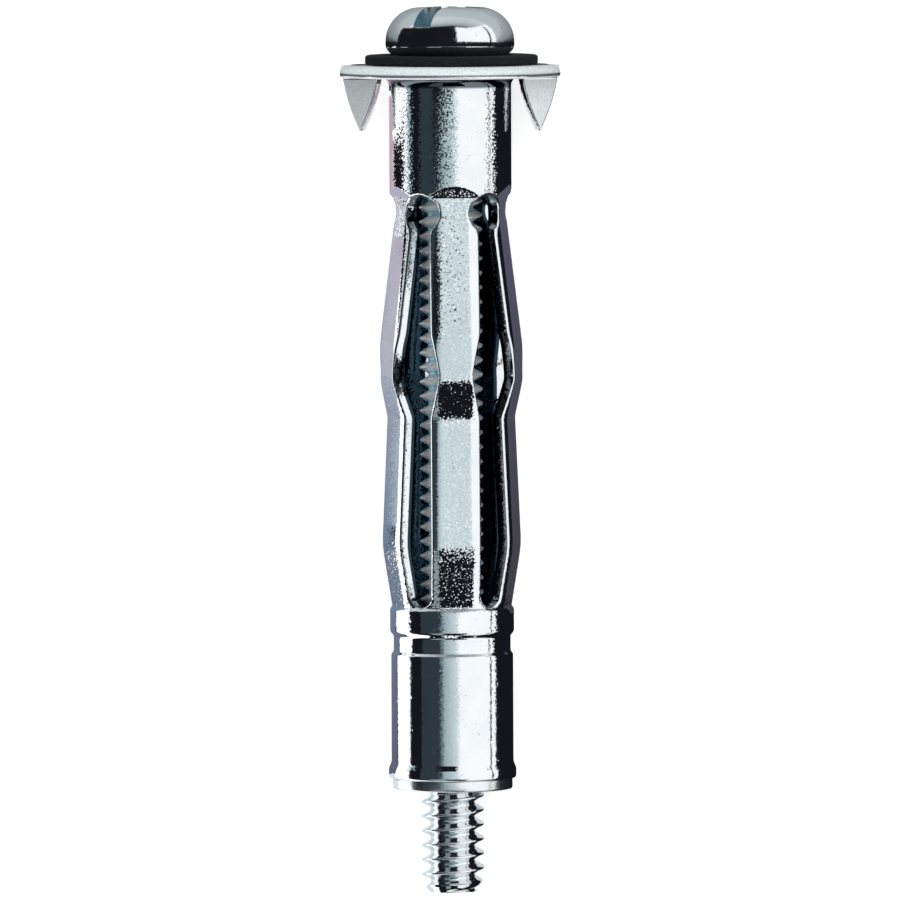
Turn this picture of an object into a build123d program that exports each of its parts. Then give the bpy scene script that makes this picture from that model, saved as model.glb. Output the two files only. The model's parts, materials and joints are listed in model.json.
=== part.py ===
from build123d import *

import math
import os

# Hollow wall anchor: a slotted sheet-metal sleeve with a flange and two prongs, a threaded nut
# crimped into its far end, a fibre washer and a pan-head machine screw.
#
# Every piece is drawn upright first: the axis is Z, the wall face (the flange underside) is z = 0,
# the head is up and the front leg faces -Y. "Depth" is measured down from the wall face.
# At the end the whole anchor is laid down on its flange rim and its end lip, as it would rest.
# All sizes are in millimetres.

# ------------------------------------------------------------------ sleeve: sheet and flange
sheet = 0.66
tube_radius = 3.337
flange_radius = 6.035
flange_rim_chamfer = 0.12
flange_root_chamfer = 0.30
bore_mouth_chamfer = 0.35

# ------------------------------------------------------------------ sleeve: lengths down the tube
collar_length = 6.41
neck_step_length = 0.44
neck_length = 0.60
upper_flare_length = 7.15
upper_crest_length = 1.90
upper_fall_length = 2.05
lower_flare_length = 7.05
lower_fall_length = 3.30
ring_step_length = 0.18
ring_length = 1.23
groove_step_length = 0.24
groove_length = 0.83
barrel_step_length = 0.19
barrel_length = 5.88
lip_flare_length = 0.50
lip_length = 0.40

# ------------------------------------------------------------------ sleeve: outside radii
neck_radius = 3.04
neck_draft = 0.01
upper_shoulder_radius = 3.90
upper_crest_radius = 3.935
waist_radius = 3.49
lower_belly_radius = 3.80
lower_neck_radius = 3.27
ring_radius = 3.391
groove_radius = 3.20
lip_radius = 3.49
lip_chamfer = 0.12

# ------------------------------------------------------------------ sleeve: legs, slots and bends
leg_count = 5
front_leg_turn = 4.0
leg_width = 2.73
flat_drop = 0.12
facet_rise = 0.47
facet_drop = 0.09
leg_notch_depth = 0.46
leg_notch_half_length = 2.27
leg_notch_lift = 0.30
leg_notch_round = 1.20
keyhole_diameter = 2.13
keyhole_drop = 0.98
belly_bend = 5.00

# ------------------------------------------------------------------ sleeve: prongs
prong_width = 2.11
prong_length = 2.96
prong_bulge = 0.12
prong_offset = 4.94
prong_turn = 26.0
prong_bend = 0.15
prong_relief = 0.30
prong_side_gap = 0.08
prong_root = 0.20

# ------------------------------------------------------------------ nut
nut_fit = 0.03
nut_top_gap = 0.06
nut_rim_radius = 3.28
nut_rim_thickness = 0.60
nut_rim_chamfer = 0.12
thread_clearance = 0.05
nut_bore_chamfer = 0.20

# ------------------------------------------------------------------ washer
washer_radius = 4.725
washer_thickness = 0.55
washer_hole_clearance = 0.16
washer_edge_chamfer = 0.06
washer_shift = 0.08

# ------------------------------------------------------------------ screw
screw_radius = 1.725
screw_length = 45.8
point_length = 0.75
point_drop = 0.38
head_radius = 3.52
head_seat_radius = 3.18
head_widest_height = 0.70
head_tuck_height = 0.45
head_height = 2.60
head_crown = 0.06
slot_width = 1.05
slot_depth = 1.10
slot_turn = 28.0
cross_span = 4.30
cross_wing_width = 1.00
cross_depth = 2.05
cross_taper = 24.0
cross_core_radius = 0.95
cross_core_taper = 12.0

# ------------------------------------------------------------------ worked-out places
half_pitch = 180.0 / leg_count
bore_radius = tube_radius - sheet
overshoot = 1.0
clear_radius = upper_crest_radius + overshoot
facet_margin = 0.30
cone_tip = 0.001
root_knee = 0.30
crease_share = 0.70
bottom_align = (Align.CENTER, Align.CENTER, Align.MIN)
slot_top_depth = collar_length + keyhole_drop
gap_spread = math.tan(math.radians(half_pitch))
gap_meeting_distance = leg_width / 2 / math.sin(math.radians(half_pitch))

depth_neck_top = collar_length + neck_step_length
depth_neck = depth_neck_top + neck_length
depth_upper_shoulder = depth_neck + upper_flare_length
depth_upper_crest = depth_upper_shoulder + upper_crest_length
depth_waist = depth_upper_crest + upper_fall_length
depth_lower_belly = depth_waist + lower_flare_length
depth_lower_neck = depth_lower_belly + lower_fall_length
depth_ring_top = depth_lower_neck + ring_step_length
depth_ring_end = depth_ring_top + ring_length
depth_groove_top = depth_ring_end + groove_step_length
depth_groove_end = depth_groove_top + groove_length
depth_barrel_top = depth_groove_end + barrel_step_length
depth_barrel_end = depth_barrel_top + barrel_length
depth_lip = depth_barrel_end + lip_flare_length
depth_sleeve_end = depth_lip + lip_length

slot_end_depth = depth_lower_neck - (lower_neck_radius - gap_meeting_distance) * gap_spread
slot_height = slot_end_depth - slot_top_depth

head_seat_z = sheet + washer_thickness


# ------------------------------------------------------------------ sleeve
def leg_stations(inset, bend):
    """The bends of the legs as (distance from the axis, height, bend radius), moved in by inset."""
    return [
        (neck_radius - neck_draft - inset, -depth_neck, 0),
        (upper_shoulder_radius - inset, -depth_upper_shoulder, bend),
        (upper_crest_radius - inset, -depth_upper_crest, 0),
        (waist_radius - inset, -depth_waist, 0),
        (lower_belly_radius - inset, -depth_lower_belly, bend),
        (lower_neck_radius - inset, -depth_lower_neck, 0),
    ]


def foot_stations(inset):
    """The corners of the ring, the groove and the barrel's start, moved in by inset."""
    return [
        (ring_radius - inset, -depth_ring_top, 0),
        (ring_radius - inset, -depth_ring_end, 0),
        (groove_radius - inset, -depth_groove_top, 0),
        (groove_radius - inset, -depth_groove_end, 0),
        (tube_radius - inset, -depth_barrel_top, 0),
    ]


def turned(stations):
    """A solid turned about Z from its outline: (radius, height, bend radius), top to bottom."""
    points = [(0, stations[0][1])] + [(r, z) for r, z, bend in stations] + [(0, stations[-1][1])]
    skin = FilletPolyline(*points, radius=[bend for r, z, bend in stations])
    return revolve(Plane.XZ * make_face(skin + Line(skin @ 1, skin @ 0)), Axis.Z)


def outer_solid():
    """Everything inside the sleeve's outer skin, turned, with flange and end lip."""
    flange = [
        (flange_radius - flange_rim_chamfer, sheet, 0),
        (flange_radius, sheet - flange_rim_chamfer, 0),
        (flange_radius, flange_rim_chamfer, 0),
        (flange_radius - flange_rim_chamfer, 0, 0),
        (tube_radius + flange_root_chamfer, 0, 0),
        (tube_radius + flange_root_chamfer * root_knee, -flange_root_chamfer * root_knee, 0),
        (tube_radius, -flange_root_chamfer, 0),
    ]
    neck = [(tube_radius, -collar_length, 0), (neck_radius, -depth_neck_top, 0)]
    lip = [
        (tube_radius, -depth_barrel_end, 0),
        (lip_radius, -depth_lip, 0),
        (lip_radius, -(depth_sleeve_end - lip_chamfer), 0),
        (lip_radius - lip_chamfer, -depth_sleeve_end, 0),
    ]
    return turned(flange + neck + leg_stations(0, belly_bend) + foot_stations(0) + lip)


def inner_solid():
    """The hollow of the tube, which follows the outer skin one sheet thickness further in."""
    leg_inset = sheet + flat_drop / 2
    mouth_radius = bore_radius + bore_mouth_chamfer
    mouth = [
        (mouth_radius, sheet + overshoot, 0),
        (mouth_radius, sheet, 0),
        (bore_radius, sheet - bore_mouth_chamfer, 0),
    ]
    neck = [
        (bore_radius, -(collar_length - facet_rise), 0),
        (neck_radius - leg_inset, -(collar_length + facet_drop), 0),
    ]
    end = [(bore_radius, -(depth_sleeve_end + overshoot), 0)]
    return turned(mouth + neck + leg_stations(leg_inset, 0) + foot_stations(sheet) + end)


def flat_cutter():
    """What flattens the middle of the front leg: everything that lies outside its flat face."""
    bends = [(neck_radius - flat_drop * crease_share, -(collar_length + facet_drop), 0)]
    bends = bends + leg_stations(flat_drop, belly_bend)
    slope = (bends[0][1] + collar_length - facet_rise) / (bends[0][0] - tube_radius)
    facet_top = (tube_radius + facet_margin, slope * facet_margin - collar_length + facet_rise)
    foot = (ring_radius + facet_margin, -depth_ring_top - facet_margin)
    points = [facet_top] + [(d, z) for d, z, bend in bends] + [foot]
    flat_line = FilletPolyline(*points, radius=[bend for d, z, bend in bends])
    outside = Polyline(foot, (clear_radius, foot[1]), (clear_radius, facet_top[1]), facet_top)
    profile = mirror(Plane.YZ * make_face(flat_line + outside), Plane.XZ)
    return extrude(profile, amount=tube_radius * math.sin(math.radians(half_pitch)), both=True)


def around_legs(solid):
    """Copies of a front-leg solid at every leg."""
    pitch = 360.0 / leg_count
    return [Rot(Z=front_leg_turn + pitch * number) * solid for number in range(leg_count)]


def around_slots(solid):
    """Copies of a solid drawn toward -Y at every slot, halfway between two legs."""
    return [Rot(Z=half_pitch) * copy for copy in around_legs(solid)]


def leg_blank():
    """The front leg's outline, straight through the sheet: parallel edges with a waist notch."""
    half = leg_width / 2
    notch_depth = depth_upper_crest - leg_notch_lift
    edge = [
        (half, -(slot_top_depth - overshoot)),
        (half, -(notch_depth - leg_notch_half_length)),
        (half - leg_notch_depth, -notch_depth),
        (half, -(notch_depth + leg_notch_half_length)),
        (half, -(depth_lower_neck + overshoot)),
    ]
    other_edge = [(-u, z) for u, z in reversed(edge)]
    rounds = [0, 0, leg_notch_round, 0, 0]
    outline = FilletPolyline(*edge, *other_edge, radius=rounds + rounds, close=True)
    return extrude(Plane.XZ * make_face(outline), amount=clear_radius)


def leg_gaps():
    """The open wedges between neighbouring leg blanks, down to where the slots' round ends start."""
    zone = Pos(0, 0, -slot_end_depth) * Cylinder(clear_radius, slot_height, align=bottom_align)
    return zone - around_legs(leg_blank())


def slot_end():
    """A cone whose sides run on from the edges of two legs and close the slot in a round end."""
    height = clear_radius - gap_meeting_distance
    cone = Cone(cone_tip, height * gap_spread, height, align=bottom_align)
    return Pos(0, -gap_meeting_distance, -slot_end_depth) * Rot(X=90) * cone


def keyhole():
    """The round hole at the top of a slot, punched toward the axis."""
    punch = Cylinder(keyhole_diameter / 2, clear_radius, align=bottom_align)
    return Pos(0, 0, -slot_top_depth) * Rot(X=90) * punch


def prong_edge(root, tip):
    """The two bulged sides of a prong from its root height to its tip, as curves in the XZ plane."""
    half = prong_width / 2
    length = math.hypot(half, root - tip)
    out = prong_bulge / length
    middle = (half / 2 + (root - tip) * out, (root + tip) / 2 - half * out)
    right = ThreePointArc((half, root), middle, (0, tip))
    left = ThreePointArc((0, tip), (-middle[0], middle[1]), (-half, root))
    return right + left


def prong():
    """One prong with its bend, drawn with its front face on Y = 0 and its outer edge toward -X."""
    reach = prong_bend + prong_root
    inner_bend = CenterArc((-prong_bend, -prong_bend), prong_bend, 0, 90)
    outer_bend = CenterArc((-prong_bend, -prong_bend), prong_bend + sheet, 0, 90)
    front = Polyline(inner_bend @ 0, (0, -prong_length), (sheet, -prong_length), outer_bend @ 0)
    root = Polyline(inner_bend @ 1, (-reach, 0), (-reach, sheet), outer_bend @ 1)
    side = Plane.YZ * make_face(inner_bend + front + outer_bend + root)
    strip = extrude(side, amount=prong_width / 2, both=True)
    half = prong_width / 2
    head = Polyline((half, -prong_bend), (half, overshoot), (-half, overshoot), (-half, -prong_bend))
    outline = Plane.XZ * make_face(prong_edge(-prong_bend, -prong_length) + head)
    return strip & extrude(outline, amount=clear_radius, both=True)


def prong_opening():
    """The opening that the prong leaves in the flange: its flat outline, open to the rim."""
    half = prong_width / 2
    bend_length = math.pi / 2 * (prong_bend + sheet / 2)
    flat_start = bend_length - prong_bend
    flat_tip = flat_start + prong_length - prong_bend
    tongue = prong_edge(-flat_start, -flat_tip)
    side_gap = half + prong_side_gap
    top_corners = [(side_gap, prong_bend), (-half, prong_bend)]
    head = Polyline((half, -flat_start), *top_corners, (-half, -flat_start))
    outline = mirror(make_face(tongue + head), Plane.XZ)
    relief_depth = sheet + prong_relief + prong_bend
    relief_centre = Pos(-flange_radius / 2, relief_depth / 2 - prong_bend)
    relief = relief_centre * Rectangle(flange_radius, relief_depth)
    return extrude(outline + relief, amount=sheet + overshoot)


def both_prongs(solid):
    """A prong-side solid set at the left of the flange, and its mirror image at the right."""
    left = Pos(-prong_offset, 0, 0) * Rot(Z=-prong_turn) * solid
    return [left, mirror(left, Plane.YZ)]


def trimmed_to_rim(solids):
    """The solids cut back to the flat part of the flange, inside the rounding of its rim."""
    reach = prong_length + overshoot
    disc = Cylinder(flange_radius - flange_rim_chamfer, reach * 2)
    return [solid & disc for solid in solids]


def make_sleeve():
    """The expansion sleeve: one sheet, turned, flattened, slotted and with its prongs bent down."""
    sleeve = outer_solid() - around_legs(flat_cutter()) - inner_solid()
    sleeve = sleeve - around_slots(keyhole())
    sleeve = sleeve - leg_gaps()
    sleeve = sleeve - around_slots(slot_end())
    sleeve = sleeve - both_prongs(prong_opening())
    return sleeve + trimmed_to_rim(both_prongs(prong()))


# ------------------------------------------------------------------ nut, washer and screw
def make_nut():
    """The threaded nut: a barrel trapped under the groove and a rim below the sleeve's lip."""
    top = -(depth_barrel_top + nut_top_gap)
    seat = -depth_sleeve_end
    bottom = seat - nut_rim_thickness
    bore = screw_radius + thread_clearance
    barrel = bore_radius - nut_fit
    section = Polyline(
        (barrel, top),
        (barrel, seat),
        (nut_rim_radius, seat),
        (nut_rim_radius, bottom + nut_rim_chamfer),
        (nut_rim_radius - nut_rim_chamfer, bottom),
        (bore + nut_bore_chamfer, bottom),
        (bore, bottom + nut_bore_chamfer),
        (bore, top - nut_bore_chamfer),
        (bore + nut_bore_chamfer, top),
        close=True,
    )
    return revolve(Plane.XZ * make_face(section), Axis.Z)


def make_washer():
    """The fibre washer under the head, lying a little off the screw's axis."""
    hole = screw_radius + washer_hole_clearance
    section = Polyline(
        (hole, sheet),
        (washer_radius - washer_edge_chamfer, sheet),
        (washer_radius, sheet + washer_edge_chamfer),
        (washer_radius, head_seat_z - washer_edge_chamfer),
        (washer_radius - washer_edge_chamfer, head_seat_z),
        (hole, head_seat_z),
        close=True,
    )
    return Pos(washer_shift, 0, 0) * revolve(Plane.XZ * make_face(section), Axis.Z)


def screw_blank():
    """Head and shank of the screw, turned; the shank has the diameter of the thread's crests."""
    crown_z = head_seat_z + head_height
    widest_z = head_seat_z + head_widest_height
    corner_radius = head_height - head_widest_height
    corner_r = head_radius - corner_radius
    crown = Line((0, crown_z + head_crown), (corner_r, crown_z))
    corner = CenterArc((corner_r, widest_z), corner_radius, 0, 90)
    end = head_seat_z - screw_length
    shank = Polyline(
        (head_radius, widest_z),
        (head_radius, head_seat_z + head_tuck_height),
        (head_seat_radius, head_seat_z),
        (screw_radius, head_seat_z),
        (screw_radius, end + point_length),
        (screw_radius - point_drop, end),
        (0, end),
        (0, crown_z + head_crown),
    )
    return revolve(Plane.XZ * make_face(crown + corner + shank), Axis.Z)


def cross_wing():
    """One pair of opposite wings of the cross recess, with sloping ends, along Y."""
    top = head_seat_z + head_height + head_crown
    narrowing = cross_depth * math.tan(math.radians(cross_taper))
    outline = Polyline(
        (cross_span / 2, top),
        (cross_span / 2 - narrowing, top - cross_depth),
        (narrowing - cross_span / 2, top - cross_depth),
        (-cross_span / 2, top),
        close=True,
    )
    return extrude(Plane.YZ * make_face(outline), amount=cross_wing_width / 2, both=True)


def drive_recess():
    """The combination recess: a slot right across the head and a cross that shares its line."""
    top = head_seat_z + head_height + head_crown
    slot_run = (head_radius + overshoot) * 2
    slot = Pos(0, 0, top) * Box(slot_width, slot_run, slot_depth * 2)
    narrowing = cross_depth * math.tan(math.radians(cross_core_taper))
    core = Cone(cross_core_radius - narrowing, cross_core_radius, cross_depth, align=bottom_align)
    cross = cross_wing() + Rot(Z=90) * cross_wing() + Pos(0, 0, top - cross_depth) * core
    return Rot(Z=-slot_turn) * (slot + cross)


def make_screw():
    """The pan-head machine screw."""
    return screw_blank() - drive_recess()


# ------------------------------------------------------------------ laying down and writing
def lie_down(pieces):
    """Lay the upright anchor on its flange rim and end lip, centred over the origin."""
    rise = math.degrees(math.atan2(flange_radius - lip_radius, depth_sleeve_end - lip_length / 2))
    laid = {name: Rot(X=rise - 90) * piece for name, piece in pieces.items()}
    box = Compound(list(laid.values())).bounding_box()
    to_origin = Pos(-(box.min.X + box.max.X) / 2, -(box.min.Y + box.max.Y) / 2, -box.min.Z)
    return {name: to_origin * piece for name, piece in laid.items()}


pieces = {
    "expansion_sleeve": make_sleeve(),
    "threaded_nut": make_nut(),
    "fibre_washer": make_washer(),
    "machine_screw": make_screw(),
}

os.makedirs("parts", exist_ok=True)
for name, piece in lie_down(pieces).items():
    export_step(piece, f"parts/{name}.step")
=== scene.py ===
"""Studio scene of a hollow wall anchor that lies on its flange rim and its end lip.

Sizes in the classes are millimetres in the anchor's own upright frame: Z is its axis, the wall
face (the flange underside) is z = 0, the head is up and the front leg faces -Y.
"""
import json
import logging
import math
from dataclasses import dataclass
from enum import Enum, IntEnum
from typing import Callable, Sequence

import bmesh
import bpy
import numpy as np
from mathutils import Matrix, Vector


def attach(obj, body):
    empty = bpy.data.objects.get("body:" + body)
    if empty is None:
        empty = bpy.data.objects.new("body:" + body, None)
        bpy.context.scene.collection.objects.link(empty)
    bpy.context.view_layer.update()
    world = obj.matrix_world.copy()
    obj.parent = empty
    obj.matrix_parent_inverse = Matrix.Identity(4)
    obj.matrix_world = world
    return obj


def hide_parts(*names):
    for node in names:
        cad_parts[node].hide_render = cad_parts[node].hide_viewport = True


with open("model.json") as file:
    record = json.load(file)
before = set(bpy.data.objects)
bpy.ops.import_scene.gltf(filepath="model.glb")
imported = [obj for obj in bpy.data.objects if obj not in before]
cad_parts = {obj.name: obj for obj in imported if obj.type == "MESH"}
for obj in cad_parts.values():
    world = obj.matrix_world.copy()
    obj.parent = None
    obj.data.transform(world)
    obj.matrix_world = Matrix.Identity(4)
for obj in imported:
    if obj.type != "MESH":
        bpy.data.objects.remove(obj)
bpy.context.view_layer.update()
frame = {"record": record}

MM = 0.001
TURN = 2 * math.pi
TINY = 1e-6  # an angle below this counts as nought
NEAR = 0.01  # a point this close to a surface counts as on it
WELD_GAP = 2e-4  # points closer than this are welded
SLIVER = 1e-5  # edges shorter than this are dissolved
FAR_OUT = 1e3  # stands for a flat face where the tube has none
SHARP_ANGLE = 38.0  # edges that turn by more degrees than this stay sharp

Colour = tuple[float, float, float]
Point2 = tuple[float, float]
Point3 = tuple[float, float, float]
Span = tuple[float, float]
Face = tuple[int, ...]

log = logging.getLogger("wall_anchor")


# ---------------------------------------------------------------------------- outlines
@dataclass(frozen=True)
class Corner:
    """One corner of an outline: distance from the axis, height and rounding radius."""

    out: float
    height: float
    rounding: float = 0.0

    def place(self) -> np.ndarray:
        """The corner as a point."""
        return np.array([self.out, self.height])


def corner_arc(before: Corner, corner: Corner, after: Corner, step: float) -> list[Point2]:
    """Points of the arc that rounds one corner.

    Args:
        before: The corner ahead of it.
        corner: The corner to round.
        after: The corner behind it.
        step: The largest turn between two points, in degrees.

    Returns:
        The arc's points, or the corner itself where it has no rounding.
    """
    middle = corner.place()
    back = before.place() - middle
    ahead = after.place() - middle
    back = back / np.linalg.norm(back)
    ahead = ahead / np.linalg.norm(ahead)
    turn = math.pi - math.acos(max(-1.0, min(1.0, float(back @ ahead))))
    if corner.rounding <= 0 or turn < 1e-4:
        return [(corner.out, corner.height)]
    reach = corner.rounding * math.tan(turn / 2)
    halfway = back + ahead
    centre = middle + halfway / np.linalg.norm(halfway) * corner.rounding / math.cos(turn / 2)
    start = middle + back * reach - centre
    stop = middle + ahead * reach - centre
    way = math.copysign(1.0, start[0] * stop[1] - start[1] * stop[0])
    count = max(2, math.ceil(math.degrees(turn) / step))
    points = []
    for number in range(count + 1):
        angle = way * turn * number / count
        cosine, sine = math.cos(angle), math.sin(angle)
        out = centre[0] + start[0] * cosine - start[1] * sine
        height = centre[1] + start[0] * sine + start[1] * cosine
        points.append((float(out), float(height)))
    return points


def rounded_path(corners: Sequence[Corner], step: float = 12.0) -> np.ndarray:
    """An open outline with its inner corners rounded.

    Args:
        corners: The outline's corners in order.
        step: The largest turn between two points of an arc, in degrees.

    Returns:
        An array of (distance from the axis, height).
    """
    points = [(corners[0].out, corners[0].height)]
    for before, corner, after in zip(corners, corners[1:], corners[2:]):
        points.extend(corner_arc(before, corner, after, step))
    points.append((corners[-1].out, corners[-1].height))
    return np.array(points)


def along(path: np.ndarray, heights: np.ndarray) -> np.ndarray:
    """The distance from the axis of a falling outline at each of the heights."""
    return np.interp(-heights, -path[:, 1], path[:, 0])


def filled(values: np.ndarray, gap: float) -> np.ndarray:
    """Sorted falling values with more put between any two that are further apart than gap.

    Args:
        values: The values, in any order.
        gap: The widest gap that stays open.

    Returns:
        The values from highest to lowest, without repeats.
    """
    kept = np.unique(np.round(values, 4))[::-1]
    pieces = []
    for upper, lower in zip(kept, kept[1:]):
        count = max(1, math.ceil((upper - lower) / gap))
        pieces.append(np.linspace(upper, lower, count, endpoint=False))
    return np.concatenate(pieces + [kept[-1:]])


def soft_min(one: np.ndarray, other: np.ndarray, blend: float) -> np.ndarray:
    """The smaller of two fields, with a rounded change-over of that depth."""
    share = np.clip(blend - np.abs(one - other), 0.0, None) / blend
    return np.minimum(one, other) - share * share * blend / 4


# ---------------------------------------------------------------------------- meshes
@dataclass(frozen=True)
class AnchorFrame:
    """Where the upright anchor lies in the shared frame."""

    origin: Vector
    axis: Vector

    @classmethod
    def from_screw_joint(cls, seat_height: float) -> "AnchorFrame":
        """Reads the anchor's place from the joint that turns the screw.

        Args:
            seat_height: Height of the joint's point above the wall face, in millimetres.

        Returns:
            The frame of the upright anchor.
        """
        joints = frame["record"]["behaviour"]["joints"]
        turning = next(joint for joint in joints if joint["name"] == "screw_turn")
        axis = Vector(turning["axis"]).normalized()
        return cls(Vector(turning["pos_m"]) - axis * seat_height * MM, axis)

    def matrix(self) -> Matrix:
        """The matrix from upright millimetres to the shared frame in metres.

        Returns:
            The matrix.
        """
        across = Vector((1, 0, 0))
        inward = self.axis.cross(across)
        turned = Matrix((across, inward, self.axis)).transposed().to_4x4()
        return Matrix.Translation(self.origin) @ turned @ Matrix.Scale(MM, 4)

    def place(self, x: float, y: float, z: float) -> Vector:
        """One upright point in the shared frame."""
        return self.matrix() @ Vector((x, y, z))


def new_object(
    name: str, points: np.ndarray, faces: Sequence[Sequence[int]],
    marks: dict[str, np.ndarray] | None = None,
) -> bpy.types.Object:
    """A mesh object in the scene, still in upright millimetres, with doubled points welded.

    Args:
        name: Name of the object.
        points: Rows of x, y and z.
        faces: Point numbers of each face.
        marks: Values on the points for the material to read, by name.

    Returns:
        The new object.
    """
    mesh = bpy.data.meshes.new(name)
    mesh.from_pydata(points.tolist(), [], [list(face) for face in faces])
    for key, values in (marks or {}).items():
        mesh.attributes.new(key, "FLOAT", "POINT").data.foreach_set("value", values.astype(np.float32))
    mesh.validate()
    obj = bpy.data.objects.new(name, mesh)
    bpy.context.scene.collection.objects.link(obj)
    work = bmesh.new()
    work.from_mesh(mesh)
    bmesh.ops.remove_doubles(work, verts=work.verts, dist=WELD_GAP)
    bmesh.ops.recalc_face_normals(work, faces=work.faces)
    work.to_mesh(mesh)
    work.free()
    return obj


def mark(obj: bpy.types.Object, name: str, test: Callable[[Vector], float]) -> None:
    """Writes a value from nought to one on every point of a mesh, for its material to read.

    Args:
        obj: The object, still in upright millimetres.
        name: Name of the mark.
        test: Gives the value at a point.
    """
    layer = obj.data.attributes.new(name, "FLOAT", "POINT")
    for number, vertex in enumerate(obj.data.vertices):
        layer.data[number].value = test(vertex.co)


def ring_faces(rows: int, columns: int) -> list[Face]:
    """Quads between successive closed rings of equal point count.

    Args:
        rows: How many rings.
        columns: Points in each ring.

    Returns:
        The quads, as point numbers.
    """
    faces: list[Face] = []
    for row in range(rows - 1):
        for column in range(columns):
            beside = (column + 1) % columns
            here, below = row * columns, (row + 1) * columns
            faces.append((here + column, here + beside, below + beside, below + column))
    return faces


def turned_object(name: str, outline: np.ndarray, segments: int) -> bpy.types.Object:
    """A closed outline turned about Z.

    Args:
        name: Name of the object.
        outline: Rows of (distance from the axis, height); an end on the axis closes the form,
            and an outline whose ends stand off the axis is joined up into a ring.
        segments: Points around each ring.

    Returns:
        The new object.
    """
    rows = outline if min(outline[0, 0], outline[-1, 0]) < 1e-9 else np.vstack([outline, outline[:1]])
    angles = np.arange(segments) * TURN / segments
    x = rows[:, :1] * np.cos(angles)
    y = rows[:, :1] * np.sin(angles)
    z = np.repeat(rows[:, 1:], segments, axis=1)
    points = np.stack([x, y, z], axis=-1).reshape(-1, 3)
    return new_object(name, points, ring_faces(len(rows), segments))


def lofted_object(name: str, rings: Sequence[np.ndarray]) -> bpy.types.Object:
    """Closed rings of equal point count joined in order, with flat ends.

    Args:
        name: Name of the object.
        rings: Rows of x, y and z for each ring.

    Returns:
        The new object.
    """
    count = len(rings[0])
    faces = ring_faces(len(rings), count)
    faces.append(tuple(range(count)))
    faces.append(tuple(range((len(rings) - 1) * count, len(rings) * count)))
    return new_object(name, np.vstack(rings), faces)


class Joining(Enum):
    """How one solid is worked into another."""

    CUT = "DIFFERENCE"
    WELD = "UNION"


def work_into(target: bpy.types.Object, tool: bpy.types.Object, how: Joining) -> None:
    """Cuts or welds a tool solid into a target and deletes the tool.

    Args:
        target: The object that stays.
        tool: The object that is used up.
        how: Whether the tool cuts or welds.
    """
    modifier = target.modifiers.new(how.name, "BOOLEAN")
    modifier.operation = how.value
    modifier.solver = "EXACT"
    modifier.object = tool
    graph = bpy.context.evaluated_depsgraph_get()
    result = bpy.data.meshes.new_from_object(target.evaluated_get(graph), depsgraph=graph)
    target.modifiers.clear()
    old = target.data
    target.data = result
    bpy.data.meshes.remove(old)
    bpy.data.objects.remove(tool)


def settle(obj: bpy.types.Object, place: AnchorFrame, finish: bpy.types.Material) -> None:
    """Moves a finished mesh into the shared frame, shades it and gives it its finish.

    Args:
        obj: The object, still in upright millimetres.
        place: Where the upright anchor lies.
        finish: The only material that the object keeps.
    """
    obj.data.transform(place.matrix())
    obj.data.shade_smooth()
    obj.data.set_sharp_from_angle(angle=math.radians(SHARP_ANGLE))
    obj.data.update()
    obj.data.materials.clear()
    obj.data.materials.append(finish)


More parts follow.
